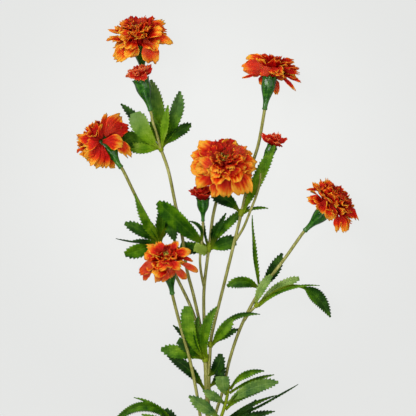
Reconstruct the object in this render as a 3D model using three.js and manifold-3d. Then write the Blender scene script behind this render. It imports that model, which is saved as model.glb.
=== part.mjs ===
// Marigold spray: six double blooms and three buds on one branching stem, with toothed leaves in whorls.
// It lies on a level surface at z = 0. Y runs up the stem, X to the right as seen from above, Z up from the
// surface, and the origin is on that surface under the fork. All sizes are in millimetres.
import * as THREE from 'three';
import { mergeVertices } from 'three/addons/utils/BufferGeometryUtils.js';
import Module from 'manifold-3d';

const wasm = await Module();
wasm.setup();

// Driving dimensions
const MAIN_RADIUS = 3.25;
const MAIN_SIDES = 8;
const MAIN_HEIGHT = MAIN_RADIUS * Math.cos(Math.PI / MAIN_SIDES);
const MAIN_CUT_END = -115;
const MAIN_TOP = 9;
const TRUNK_RADIUS = 2.5;
const BRANCH_RADIUS = 1.65;
const SHOOT_RADIUS = 1.3;
const CLEARANCE = 0.36;
const SEAT_GAP = 0.3;
const SLEEVE_WALL = 1.05;
const LEAF_THICKNESS = 0.8;
const PETAL_THICKNESS = 0.8;
const CALYX_LENGTH = 27;
const LEAF_FOLD = 0.3;
const LARGE_LEAF = 13.5;
const ROD_STEP = 24;

const FINISHES = {
  stem: { color: 0x8d8f45, roughness: 0.6 },
  leaf: { color: 0x3f6b1e, roughness: 0.65 },
  calyx: { color: 0x1d5a26, roughness: 0.4 },
  petal: { color: 0xd8480c, roughness: 0.75 },
  bud: { color: 0xb92a10, roughness: 0.75 },
  centre: { color: 0xb7a52c, roughness: 0.8 },
};

// Seeded random draws, so that every build is the same
function makeRandom(seed) {
  let state = seed;
  return (low, high) => {
    state = (state * 16807) % 2147483647;
    return low + (high - low) * (state / 2147483647);
  };
}

// Solids: a closed geometry becomes a solid that can be joined and cut, and comes back as a geometry
function toSolid(geometry) {
  const plain = geometry.index ? geometry.toNonIndexed() : geometry.clone();
  plain.deleteAttribute('normal');
  plain.deleteAttribute('uv');
  const merged = mergeVertices(plain, 1e-4);
  return new wasm.Manifold(new wasm.Mesh({
    numProp: 3,
    vertProperties: new Float32Array(merged.attributes.position.array),
    triVerts: new Uint32Array(merged.index.array),
  }));
}

function toGeometry(solid) {
  const mesh = solid.getMesh();
  const geometry = new THREE.BufferGeometry();
  geometry.setAttribute('position', new THREE.BufferAttribute(new Float32Array(mesh.vertProperties), 3));
  geometry.setIndex(new THREE.BufferAttribute(new Uint32Array(mesh.triVerts), 1));
  const flat = geometry.toNonIndexed();
  flat.computeVertexNormals();
  return flat;
}

const join = (solids) => solids.reduce((whole, next) => whole.add(next));

// The largest body: loose scraps and sealed hollows are left out
function mainBody(solid) {
  const bodies = solid.decompose();
  return bodies.reduce((best, body) => (body.volume() > best.volume() ? body : best));
}

// Stems: a round rod along a smooth route
function ring(radius, sides) {
  const shape = new THREE.Shape();
  for (let i = 0; i < sides; i += 1) {
    const angle = (2 * Math.PI * i) / sides;
    const x = radius * Math.cos(angle);
    const y = radius * Math.sin(angle);
    if (i === 0) shape.moveTo(x, y);
    else shape.lineTo(x, y);
  }
  shape.closePath();
  return shape;
}

function rod(curve, radius, steps, sides = 6) {
  const options = { extrudePath: curve, steps, bevelEnabled: false, curveSegments: 1 };
  return toSolid(new THREE.ExtrudeGeometry(ring(radius, sides), options));
}

const vector = (point) => new THREE.Vector3(...point);
const route = (points) => new THREE.CatmullRomCurve3(points.map(vector), false, 'centripetal');

// A head's own frame: its x points to the front, its z along the axis from calyx to petal tips
function headFrame(head) {
  const axis = vector(head.axis).normalize();
  const up = new THREE.Vector3(0, 0, 1);
  const front = up.clone().addScaledVector(axis, -up.dot(axis)).normalize();
  const side = axis.clone().cross(front);
  const frame = new THREE.Matrix4().makeBasis(front, side, axis);
  frame.setPosition(vector(head.at));
  return frame;
}

// The blooms and buds: the place of the petals' root, the axis, and the size against a full bloom
const BLOOMS = {
  top: { at: [-68, 391, 25.8], axis: [-0.1, 0.89, 0.45], scale: 1.06, seed: 11 },
  left: { at: [-105, 291, 29], axis: [-0.6, 0.72, -0.35], scale: 0.96, seed: 23 },
  right_top: { at: [61, 357, 28.6], axis: [0.15, 0.98, -0.1], scale: 1, seed: 37 },
  middle: { at: [16, 268, 35], axis: [0.03, 0.5, 0.866], scale: 1.1, seed: 41 },
  low: { at: [-39.4, 170, 38], axis: [-0.12, 0.85, 0.5], scale: 0.94, seed: 53 },
  right: { at: [118, 227, 27.9], axis: [0.68, 0.68, 0.27], scale: 0.98, seed: 67 },
};

const BUDS = {
  top: { at: [-66.5, 355, 34], axis: [-0.3, 0.95, 0.1], scale: 1, seed: 71 },
  middle: { at: [-5, 237, 22], axis: [0, 0.95, 0.3], scale: 0.72, seed: 83 },
  right: { at: [64, 289, 30], axis: [0.45, 0.89, 0], scale: 0.74, seed: 97 },
};

// The end of a branch: it comes straight up the head's axis and stops just short of the calyx
function branchEnd(head, calyxLength) {
  const axis = vector(head.axis).normalize();
  const end = vector(head.at).addScaledVector(axis, -calyxLength - 2 * SEAT_GAP);
  const before = end.clone().addScaledVector(axis, -5);
  return [before.toArray(), end.toArray()];
}

const budCalyx = (bud) => CALYX_LENGTH * bud.scale;
const bloomEnd = (name) => branchEnd(BLOOMS[name], CALYX_LENGTH);
const budEnd = (name) => branchEnd(BUDS[name], budCalyx(BUDS[name]));

// Routes of the trunk and the branches, from the fork up
const FORK = [-3, 86, 6.5];
const ROUTES = {
  trunk: { radius: TRUNK_RADIUS, points: [[0, -6, 3.4], [0, 20, 4], [-1, 50, 5.5], FORK] },
  top: {
    radius: BRANCH_RADIUS,
    points: [FORK, [-6, 112, 9], [-13, 143, 10], [-20, 166, 10], [-25, 201, 13], [-30, 229, 16],
      [-41, 266, 19], [-48, 290, 20], [-56, 320, 16], [-63, 345, 11], ...bloomEnd('top')],
  },
  top_bud: {
    radius: SHOOT_RADIUS,
    points: [[-46.5, 284, 20], [-51, 303, 24], [-55, 315, 28], ...budEnd('top')],
  },
  left: {
    radius: BRANCH_RADIUS,
    points: [FORK, [-9, 106, 6.5], [-18, 131, 5], [-30, 156, 4], [-42, 181, 4.5], [-50, 197, 9],
      [-58, 214, 17], [-70, 238, 28], ...bloomEnd('left')],
  },
  low: {
    radius: BRANCH_RADIUS,
    points: [[-1, -4, 4], [-7, 16, 7], [-10, 36, 9], [-18, 76, 11.5], [-28, 112, 11], ...bloomEnd('low')],
  },
  middle: {
    radius: BRANCH_RADIUS,
    points: [FORK, [-4, 116, 7.5], [-4, 146, 7], [-1, 174, 6], [2, 196, 5], [5, 220, 4], [10, 240, 3.4],
      ...bloomEnd('middle')],
  },
  middle_bud: {
    radius: SHOOT_RADIUS,
    points: [[-4, 150, 7], [-7, 164, 9], [-8, 178, 12], [-6, 195, 13], ...budEnd('middle')],
  },
  right_top: {
    radius: BRANCH_RADIUS,
    points: [[-1, 74, 6], [5, 97, 8], [13, 118, 9], [18, 146, 11], [27, 193, 15], [33, 222, 18],
      [44, 271, 22], [50, 291, 24], ...bloomEnd('right_top')],
  },
  right_bud: {
    radius: SHOOT_RADIUS,
    points: [[27.5, 196, 15], [35, 211, 18], [39, 228, 21], [46, 243, 24], [52, 258, 27],
      ...budEnd('right')],
  },
  right: {
    radius: BRANCH_RADIUS,
    points: [[1, -4, 4], [9, 27, 5], [17, 46, 5.5], [25, 76, 7], [36, 111, 9], [54, 143, 12.5],
      [76, 177, 17], ...bloomEnd('right')],
  },
  side_shoot: { radius: SHOOT_RADIUS, points: [[38, 116, 9.5], [44, 125, 12], [52, 133.5, 15]] },
  front_shoot: {
    radius: SHOOT_RADIUS,
    points: [[0, -2, 3.5], [7, 9, 11], [13, 20, 15], [18, 36, 18], [21, 52, 20]],
  },
  low_shoot: {
    radius: SHOOT_RADIUS,
    points: [[0, -16, 3.5], [-9, -12, 6], [-22, 0, 9], [-37, 12, 11]],
  },
};

for (const branch of Object.values(ROUTES)) {
  branch.curve = route(branch.points);
  branch.steps = Math.ceil(branch.curve.getLength() / ROD_STEP) + 1;
  branch.solid = rod(branch.curve, branch.radius, branch.steps);
  branch.space = rod(branch.curve, branch.radius + CLEARANCE, branch.steps);
}

function mainStem() {
  const length = MAIN_TOP - MAIN_CUT_END;
  const cylinder = new THREE.CylinderGeometry(MAIN_RADIUS, MAIN_RADIUS, length, MAIN_SIDES, 1);
  cylinder.rotateY(Math.PI / MAIN_SIDES);
  cylinder.translate(0, (MAIN_TOP + MAIN_CUT_END) / 2, MAIN_HEIGHT);
  return toSolid(cylinder);
}

const branchSpaces = Object.values(ROUTES).map((branch) => branch.space);
const stemSolid = join([mainStem(), ...Object.values(ROUTES).map((branch) => branch.solid)]);

// A thin blade: a flat outline is bent along a spine and gets a top and an underside, split alike
function blade(outline, spine, faceStart, faceEnd, lift, thickness) {
  const { points, triangles, rim } = outline;
  const count = points.length;
  const positions = [];
  const tops = [];
  const unders = [];
  for (const [u, v] of points) {
    const tangent = spine.getTangent(u);
    const face = faceStart.clone().lerp(faceEnd, u);
    face.addScaledVector(tangent, -face.dot(tangent)).normalize();
    const side = face.clone().cross(tangent);
    const point = spine.getPoint(u).addScaledVector(side, v).addScaledVector(face, lift(u, v));
    tops.push(point.clone().addScaledVector(face, thickness / 2));
    unders.push(point.clone().addScaledVector(face, -thickness / 2));
  }
  const corners = [...tops, ...unders];
  const addTriangle = (a, b, c) => [a, b, c].forEach((i) => positions.push(...corners[i].toArray()));
  for (const [a, b, c] of triangles) {
    const [pa, pb, pc] = [points[a], points[b], points[c]];
    const turn = (pb[0] - pa[0]) * (pc[1] - pa[1]) - (pb[1] - pa[1]) * (pc[0] - pa[0]);
    const [first, second, third] = turn > 0 ? [a, b, c] : [a, c, b];
    addTriangle(first, second, third);
    addTriangle(first + count, third + count, second + count);
  }
  rim.forEach((a, i) => {
    const b = rim[(i + 1) % rim.length];
    addTriangle(a, a + count, b + count);
    addTriangle(a, b + count, b);
  });
  const geometry = new THREE.BufferGeometry();
  geometry.setAttribute('position', new THREE.Float32BufferAttribute(positions, 3));
  return toSolid(geometry);
}

// Outline of a toothed leaf: a short stalk, then teeth that point forward on both sides
function leafOutline(width) {
  const stalk = 0.1;
  const stalkHalf = 0.8;
  const teeth = width < LARGE_LEAF ? 3 : 4;
  const halfWidth = (s) => (width / 2) * Math.sin(Math.PI * s ** 0.75) ** 0.75;
  const points = [[0, -stalkHalf], [0, stalkHalf]];
  const triangles = [];
  const middles = [];
  const sides = { left: [], right: [] };
  const add = (point) => points.push(point) - 1;
  for (let i = 0; i <= teeth; i += 1) {
    const station = stalk + ((1 - stalk) * i) / teeth;
    middles.push(add([station, 0]));
  }
  for (const [name, sign] of [['right', -1], ['left', 1]]) {
    const edge = sides[name];
    for (let i = 0; i < teeth; i += 1) {
      const step = (1 - stalk) / teeth;
      const station = stalk + step * i;
      const notch = Math.max(stalkHalf, 0.74 * halfWidth(Math.max(station, 0.01)));
      const tooth = station + 0.62 * step;
      edge.push(add([station, sign * (i === 0 ? stalkHalf : notch)]));
      edge.push(add([tooth, sign * Math.max(1, halfWidth(tooth))]));
    }
    for (let i = 0; i < teeth; i += 1) {
      const notch = edge[2 * i];
      const tooth = edge[2 * i + 1];
      const nextNotch = edge[2 * i + 2];
      triangles.push([middles[i], notch, tooth], [middles[i], tooth, middles[i + 1]]);
      if (i < teeth - 1) triangles.push([middles[i + 1], tooth, nextNotch]);
    }
  }
  triangles.push([0, 1, middles[0]], [0, middles[0], sides.right[0]], [1, middles[0], sides.left[0]]);
  const rim = [0, ...sides.right, middles[teeth], ...sides.left.slice().reverse(), 1];
  return { points, triangles, rim };
}

// A leaf from a place on its branch to its tip. arch lifts its middle, bow swings it to the left, and roll
// turns its upper face about its length, in degrees, with a further twist towards the tip
function leaf(branch, start, { tip, width, arch, bow = 0, roll = 0, twist = 0 }) {
  const nearest = nearestOn(branch.curve, start);
  const seat = branch.radius + 0.7;
  const end = vector(tip);
  const along = branch.curve.getTangentAt(nearest);
  const root = branch.curve.getPointAt(nearest);
  const reach = end.clone().sub(root);
  const outward = reach.clone().addScaledVector(along, -reach.dot(along)).normalize();
  root.addScaledVector(outward, seat);
  const chord = end.clone().sub(root);
  const left = new THREE.Vector3(-chord.y, chord.x, 0).normalize();
  const control = root.clone().add(end).multiplyScalar(0.5).addScaledVector(left, bow);
  control.z += arch;
  const spine = new THREE.QuadraticBezierCurve3(root, control, end);
  const faceAt = (u, angle) => {
    const tangent = spine.getTangent(u);
    const face = new THREE.Vector3(0, 0, 1).addScaledVector(tangent, -tangent.z).normalize();
    return face.applyAxisAngle(tangent, THREE.MathUtils.degToRad(angle));
  };
  const fold = (u, v) => LEAF_FOLD * Math.abs(v);
  return blade(leafOutline(width), spine, faceAt(0, roll), faceAt(1, roll + twist), fold, LEAF_THICKNESS);
}

// The place along a branch at a height up the spray
function nearestOn(curve, height) {
  let best = 0;
  for (let i = 0; i <= 200; i += 1) {
    const off = Math.abs(curve.getPointAt(i / 200).y - height);
    if (off < Math.abs(curve.getPointAt(best).y - height)) best = i / 200;
  }
  return best;
}

// A whorl: a sleeve round the branch from one height to another, with leaves grown out of it
function whorl({ on, from, to, leaves }) {
  const branch = ROUTES[on];
  const [start, end] = [nearestOn(branch.curve, from), nearestOn(branch.curve, to)];
  const stations = [0, 0.25, 0.5, 0.75, 1].map((t) => branch.curve.getPointAt(start + (end - start) * t));
  const sleeveRoute = new THREE.CatmullRomCurve3(stations, false, 'centripetal');
  const sleeve = rod(sleeveRoute, branch.radius + CLEARANCE + SLEEVE_WALL, 2, 7);
  const blades = leaves.map((one) => leaf(branch, one.root ?? (from + to) / 2, one));
  return mainBody(branchSpaces.reduce((body, space) => body.subtract(space), join([sleeve, ...blades])));
}

const WHORLS = {
  leaves_top: {
    on: 'top', from: 284, to: 292,
    leaves: [
      { tip: [-57, 356, 9], width: 12, arch: 2, bow: -5 },
      { tip: [-27, 345, 30], width: 13, arch: 8, bow: -7, roll: 12 },
      { tip: [-39.5, 330, 38], width: 8, arch: 8, roll: -20 },
      { tip: [-17, 310, 20], width: 12, arch: 12, bow: 5, roll: 25 },
      { tip: [-87, 332, 7], width: 9, arch: 4, bow: -4 },
      { tip: [-72, 323, 34], width: 17, arch: 8, bow: 5, roll: -30 },
      { tip: [-78, 298, 11], width: 16, arch: 6, bow: -3, roll: -10 },
    ],
  },
  leaves_left: {
    on: 'left', from: 191, to: 199,
    leaves: [
      { tip: [-76.5, 243, 40], width: 11, arch: 8, bow: 2, roll: -15 },
      { tip: [-83, 213, 16], width: 11, arch: 6, bow: -3, roll: 10 },
      { tip: [-92, 197.5, 8], width: 7, arch: 3, bow: 3, roll: 60 },
      { tip: [-83, 182, 9], width: 14, arch: 7, bow: 2, roll: -15 },
      { tip: [-47, 233, 12], width: 11, arch: 2, bow: -3 },
      { tip: [-31, 195, 24], width: 10, arch: 12, bow: 10, roll: 20 },
    ],
  },
  leaves_middle: {
    on: 'middle', from: 184, to: 193,
    leaves: [
      { tip: [-50, 234, 25], width: 22, arch: 14, bow: -7, roll: -8, root: 188 },
      { tip: [-28, 190, 6], width: 12, arch: 1, bow: 3 },
      { tip: [-14, 189, 22], width: 9, arch: 6, roll: 12 },
      { tip: [18, 223, 12], width: 7, arch: 4, bow: 2, roll: 20, root: 190 },
      { tip: [42, 229.5, 9], width: 10, arch: 6, bow: 2, root: 189 },
      { tip: [28, 197, 9], width: 13, arch: 4, bow: 3, root: 187 },
    ],
  },
  leaves_strap: {
    on: 'right_top', from: 220, to: 227,
    leaves: [
      { tip: [3, 239, 12], width: 13, arch: 2, bow: 2 },
      { tip: [66, 290, 43], width: 13, arch: 12, bow: -5, roll: -10 },
    ],
  },
  leaves_right: {
    on: 'right', from: 143, to: 150,
    leaves: [
      { tip: [44, 221, 22], width: 6, arch: 6, bow: 2, roll: 62 },
      { tip: [19, 150, 18], width: 12, arch: 8, bow: -11, roll: -10 },
      { tip: [74, 183, 6], width: 13, arch: 0, bow: 3 },
    ],
  },
  leaves_arching: {
    on: 'side_shoot', from: 129.5, to: 133,
    leaves: [
      { tip: [122, 119, 7], width: 13, arch: 22, bow: 46, roll: -10, twist: -6 },
      { tip: [62, 162, 27], width: 10, arch: 8, bow: 5 },
      { tip: [91, 156, 24], width: 10, arch: 8, bow: 6, roll: 10 },
    ],
  },
  leaves_fork: {
    on: 'trunk', from: 74, to: 82,
    leaves: [
      { tip: [-20, 130.5, 24], width: 15, arch: 8, bow: 6, roll: -15 },
      { tip: [-10, 120, 22], width: 9, arch: 6, bow: 3, roll: 20 },
      { tip: [9, 130, 24], width: 10, arch: 10, bow: 5, roll: 15 },
      { tip: [-47, 87, 5], width: 13, arch: 4, bow: -2 },
    ],
  },
  leaves_fork_right: {
    on: 'right_top', from: 89, to: 95,
    leaves: [
      { tip: [24.5, 118, 22], width: 11, arch: 8, bow: 2, roll: 10 },
      { tip: [52, 121.5, 14], width: 6, arch: 12, bow: 11, roll: 45, twist: -25 },
    ],
  },
  leaves_trunk: {
    on: 'trunk', from: 44, to: 62,
    leaves: [
      { tip: [-41, 81, 4], width: 12, arch: 0, bow: 3, root: 47 },
      { tip: [12, 84, 16], width: 12, arch: 5, bow: -6, roll: 20, root: 60 },
      { tip: [15, 73, 12], width: 9, arch: 5, bow: -6, root: 50 },
    ],
  },
  leaves_front: {
    on: 'front_shoot', from: 12, to: 50,
    leaves: [
      { tip: [-19, 41, 20], width: 13, arch: 8, bow: -3, roll: -10, root: 14 },
      { tip: [-5, 47, 28], width: 10, arch: 8, bow: -2, root: 26 },
      { tip: [14, 61, 28], width: 13, arch: 4, bow: 2, root: 42 },
      { tip: [57, 65, 26], width: 6, arch: 6, bow: 9, roll: 25, root: 48 },
      { tip: [70, 53.5, 27], width: 12, arch: 8, bow: 8, root: 34 },
      { tip: [68, 52, 14], width: 13, arch: 12, bow: 9, roll: 10, root: 28 },
      { tip: [90, 52, 6], width: 6, arch: 10, bow: 6, roll: 60, root: 12 },
      { tip: [67, 25, 5], width: 8, arch: 8, bow: 4, root: 12 },
    ],
  },
  leaves_low: {
    on: 'low_shoot', from: -2, to: 10,
    leaves: [
      { tip: [-94, 11, 6], width: 9, arch: 22, bow: -42, roll: -10 },
      { tip: [-74, 39, 8], width: 6, arch: 2, bow: -2 },
      { tip: [-66, 23, 24], width: 9, arch: 10, bow: -4, roll: -15 },
      { tip: [-70, -8, 6], width: 12, arch: 8, bow: 4 },
      { tip: [-46, -20, 8], width: 10, arch: 8, bow: 3, roll: 10, root: 0 },
      { tip: [-20, 30, 22], width: 9, arch: 8, bow: 2, roll: 10 },
    ],
  },
};

// Outline of a ray petal: a narrow claw, widening to a broad ruffled tip. The outermost petals are the
// largest, and their tips have one point more
function petalOutline(width, wide, random) {
  const points = [[0, -0.1 * width], [0, 0.1 * width], [0.5, -0.34 * width], [0.5, 0.34 * width]];
  const shoulder = () => random(0.82, 0.9);
  if (wide) {
    points.push([shoulder(), -0.48 * width], [random(0.93, 1), -0.17 * width]);
    points.push([random(0.93, 1), 0.17 * width], [shoulder(), 0.48 * width]);
    const triangles = [[0, 1, 3], [0, 3, 2], [2, 5, 4], [2, 3, 5], [3, 6, 5], [3, 7, 6]];
    return { points, triangles, rim: [0, 2, 4, 5, 6, 7, 3, 1] };
  }
  points.push([shoulder(), -0.48 * width], [random(0.93, 1), random(-0.1, 0.1) * width]);
  points.push([shoulder(), 0.48 * width]);
  const triangles = [[0, 1, 3], [0, 3, 2], [2, 5, 4], [2, 3, 5], [3, 6, 5]];
  return { points, triangles, rim: [0, 2, 4, 5, 6, 3, 1] };
}

// A petal in the bloom's own frame. start and end are the angles of its root and tip above the plane
// across the axis, azimuth is its place round the axis from the front, all in degrees
function petal({ azimuth, start, end, length, width, radius, height, wide = false }, random) {
  const round = THREE.MathUtils.degToRad(azimuth);
  const [first, last] = [THREE.MathUtils.degToRad(start), THREE.MathUtils.degToRad(end)];
  const outward = new THREE.Vector3(Math.cos(round), Math.sin(round), 0);
  const up = new THREE.Vector3(0, 0, 1);
  const mix = (out, rise) => outward.clone().multiplyScalar(out).addScaledVector(up, rise);
  const heading = (angle) => mix(Math.cos(angle), Math.sin(angle));
  const facing = (angle) => mix(-Math.sin(angle), Math.cos(angle));
  const root = mix(radius, height);
  const bend = root.clone().addScaledVector(heading(first), length / 2);
  const tip = bend.clone().addScaledVector(heading(last), length / 2);
  const spine = new THREE.QuadraticBezierCurve3(root, bend, tip);
  const phase = random(0, 2 * Math.PI);
  const ruffle = (u, v) => u * u * 0.11 * width * Math.sin((14 * v) / width + phase);
  const outline = petalOutline(width, wide, random);
  return blade(outline, spine, facing(first), facing(last), ruffle, PETAL_THICKNESS);
}

const BLOOM_LAYERS = [
  { count: 7, start: 14, end: -32, length: 27, width: 20, radius: 5, height: 3, wide: true },
  { count: 6, start: 36, end: -2, length: 25, width: 19, radius: 5, height: 6 },
  { count: 5, start: 54, end: 20, length: 21, width: 17, radius: 4.5, height: 9 },
  { count: 4, start: 70, end: 50, length: 17, width: 14, radius: 4, height: 12 },
];
const BUD_LAYERS = [
  { count: 5, start: 62, end: 24, length: 14, width: 11, radius: 4, height: 1.5 },
  { count: 4, start: 78, end: 60, length: 14, width: 9, radius: 3, height: 3 },
];
const CORE_TOP = 16;
const BLOOM_CORE = [[0, 0], [7, 0], [9.5, 5], [4.6, CORE_TOP], [0, CORE_TOP]];
const BUD_CORE = [[0, 0], [5, 0], [6, 3], [3.5, 10], [0, 11]];
const CALYX_TOP = [[7.5, CALYX_LENGTH], [0, CALYX_LENGTH]];
const CALYX_PROFILE = [[0, 0], [2.6, 0], [3.8, 3], [6.2, 10], [6.9, 19], ...CALYX_TOP];

function turned(profile, sides) {
  const lathe = new THREE.LatheGeometry(profile.map(([r, h]) => new THREE.Vector2(r, h)), sides);
  return toSolid(lathe.rotateX(Math.PI / 2));
}

const calyxCup = () => turned(CALYX_PROFILE, 9);

function headPetals(layers, core, head, extras = []) {
  const random = makeRandom(head.seed);
  const whole = layers.flatMap((layer, row) => {
    const step = 360 / layer.count;
    return Array.from({ length: layer.count }, (_, i) => petal({
      ...layer,
      azimuth: step * (i + 0.5 * (row % 2)) + random(-0.1, 0.1) * step,
      start: layer.start + (i % 2 ? 5 : -5) + random(-1, 1),
      end: layer.end + random(-12, 12),
      length: layer.length * random(0.92, 1.06),
    }, random));
  });
  const special = extras.map((extra) => petal({ ...layers[0], ...extra }, random));
  return mainBody(join([turned(core, 7), ...whole, ...special]));
}

// The tuft of stamens in a bloom's middle: a small disc with short spikes
function tuft(seed) {
  const random = makeRandom(seed);
  const disc = turned([[0, 0], [3.2, 0], [3, 2], [0, 2.4]], 6);
  const spikes = Array.from({ length: 5 }, (_, i) => {
    const angle = (2 * Math.PI * i) / 4;
    const radius = i === 4 ? 0 : 1.8;
    const spike = new THREE.ConeGeometry(0.95, random(5.5, 7.5), 4);
    spike.rotateX(Math.PI / 2);
    spike.translate(radius * Math.cos(angle), radius * Math.sin(angle), 3.8);
    return toSolid(spike);
  });
  return join([disc, ...spikes]);
}

// Petals that stand out of each bloom's outline
const EXTRA_PETALS = {
  top: [
    { azimuth: -35, start: -10, end: -65, length: 23, width: 17 },
    { azimuth: 20, start: -8, end: -62, length: 21, width: 16 },
  ],
  left: [
    { azimuth: 60, start: -5, end: -50, length: 32, width: 19 },
    { azimuth: 120, start: -10, end: -50, length: 28, width: 16 },
  ],
  right_top: [
    { azimuth: -60, start: 0, end: -62, length: 30, width: 18 },
    { azimuth: 110, start: 0, end: -55, length: 30, width: 12 },
  ],
  middle: [],
  low: [
    { azimuth: 35, start: -12, end: -70, length: 24, width: 14 },
  ],
  right: [
    { azimuth: 70, start: -5, end: -55, length: 30, width: 15 },
  ],
};

// The finished group: each head is a group on its own axis, with its calyx, petals and tuft stacked along it
const spray = new THREE.Group();

function addMesh(parent, name, solid, finish) {
  const material = new THREE.MeshStandardMaterial({ ...FINISHES[finish], metalness: 0 });
  const mesh = new THREE.Mesh(toGeometry(solid), material);
  mesh.name = name;
  parent.add(mesh);
  return mesh;
}

function addHead(head) {
  const group = new THREE.Group();
  group.applyMatrix4(headFrame(head));
  spray.add(group);
  return group;
}

addMesh(spray, 'stem', stemSolid, 'stem');
for (const [name, spec] of Object.entries(WHORLS)) addMesh(spray, name, whorl(spec), 'leaf');

for (const [name, bloom] of Object.entries(BLOOMS)) {
  const group = addHead(bloom);
  const petals = headPetals(BLOOM_LAYERS, BLOOM_CORE, bloom, EXTRA_PETALS[name]);
  addMesh(group, `petals_${name}`, petals.scale(bloom.scale), 'petal');
  const centre = addMesh(group, `centre_${name}`, tuft(bloom.seed).scale(bloom.scale), 'centre');
  centre.position.z = CORE_TOP * bloom.scale + SEAT_GAP;
  const calyx = addMesh(group, `calyx_${name}`, calyxCup(), 'calyx');
  calyx.position.z = -CALYX_LENGTH - SEAT_GAP;
}

for (const [name, bud] of Object.entries(BUDS)) {
  const group = addHead(bud);
  addMesh(group, `bud_${name}`, headPetals(BUD_LAYERS, BUD_CORE, bud).scale(bud.scale), 'bud');
  const calyx = addMesh(group, `bud_calyx_${name}`, calyxCup().scale(bud.scale), 'calyx');
  calyx.position.z = -budCalyx(bud) - SEAT_GAP;
}

export default spray;
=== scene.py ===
# Looks of a cut spray of marigolds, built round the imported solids. The sections follow the spray as it
# grows: stem and branches, leaf whorls, green cups, ray petals, tufts, buds, and then the studio. Shapes
# are worked out in millimetres, in the solids' own frame, and each mesh is brought to metres at its end.
import math
import random

import bmesh
import bpy
from mathutils import Matrix, Vector


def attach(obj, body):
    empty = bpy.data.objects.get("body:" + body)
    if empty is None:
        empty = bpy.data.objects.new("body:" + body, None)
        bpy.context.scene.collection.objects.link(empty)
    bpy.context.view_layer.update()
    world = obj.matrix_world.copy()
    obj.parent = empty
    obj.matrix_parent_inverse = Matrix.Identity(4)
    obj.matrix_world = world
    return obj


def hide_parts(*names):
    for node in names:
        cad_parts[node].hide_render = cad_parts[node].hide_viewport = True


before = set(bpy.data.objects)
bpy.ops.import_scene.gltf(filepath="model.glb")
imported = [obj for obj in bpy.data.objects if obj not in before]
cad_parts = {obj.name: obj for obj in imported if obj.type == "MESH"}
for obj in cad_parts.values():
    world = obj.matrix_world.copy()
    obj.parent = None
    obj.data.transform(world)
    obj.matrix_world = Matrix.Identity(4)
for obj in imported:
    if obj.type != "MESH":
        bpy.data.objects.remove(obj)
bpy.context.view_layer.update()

# Stem and branches. The real thing is one olive stem that forks into long thin branches, each a little
# swollen where it leaves its neighbour, with a matt skin in fine ribs and pale pith at the cut. Each branch
# is drawn out along its own route to the head that it carries.
MILLIMETRE = 0.001
MAIN_RADIUS = 3.25
MAIN_HEIGHT = 3.0
MAIN_CUT_END = -115
MAIN_NARROWS_AT = -8
MAIN_NARROWED = 0.9
MAIN_SIDES = 18
MAIN_SPACING = 6
BRANCH_RADIUS = 1.65
SHOOT_RADIUS = 1.3
BRANCH_SIDES = 14
BRANCH_SPACING = 4
BRANCH_SWELL = 0.3
RIB_DEPTH = 0.06
ROUTE_STEPS = 24
FORK = (-3, 86, 6.5)
CUP_LENGTH = 27
CUP_GAP = 0.6
STRAIGHT_END = 5

# The heads that the branches run to: where the petals leave the cup, the way that the head faces, its size,
# and by how much its petals are yellower (warmth) than the rest. Places and ways are those of the solids.
BLOOMS = {
    "top": {"at": (-68, 391, 25.8), "axis": (-0.1, 0.89, 0.45), "size": 1.06, "warmth": 0.02},
    "left": {"at": (-105, 291, 29), "axis": (-0.6, 0.72, -0.35), "size": 0.96, "warmth": -0.05},
    "right_top": {"at": (61, 357, 28.6), "axis": (0.15, 0.98, -0.1), "size": 1.0, "warmth": -0.08},
    "middle": {"at": (16, 268, 35), "axis": (0.03, 0.5, 0.866), "size": 1.1, "warmth": 0.1},
    "low": {"at": (-39.4, 170, 38), "axis": (-0.12, 0.85, 0.5), "size": 0.94, "warmth": 0.0},
    "right": {"at": (118, 227, 27.9), "axis": (0.68, 0.68, 0.27), "size": 0.98, "warmth": -0.06},
}
BUDS = {
    "top": {"at": (-66.5, 355, 34), "axis": (-0.3, 0.95, 0.1), "size": 1.0, "warmth": 0.06},
    "middle": {"at": (-5, 237, 22), "axis": (0, 0.95, 0.3), "size": 0.72, "warmth": -0.3},
    "right": {"at": (64, 289, 30), "axis": (0.45, 0.89, 0), "size": 0.74, "warmth": -0.05},
}


def branch_end(head, cup_size):
    """The last two points of a branch, straight up the head's axis and just short of its cup."""
    axis = Vector(head["axis"]).normalized()
    end = Vector(head["at"]) - axis * (CUP_LENGTH * cup_size + CUP_GAP)
    return [end - axis * STRAIGHT_END, end]


def bloom_end(name):
    return branch_end(BLOOMS[name], 1)


def bud_end(name):
    return branch_end(BUDS[name], BUDS[name]["size"])


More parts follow.
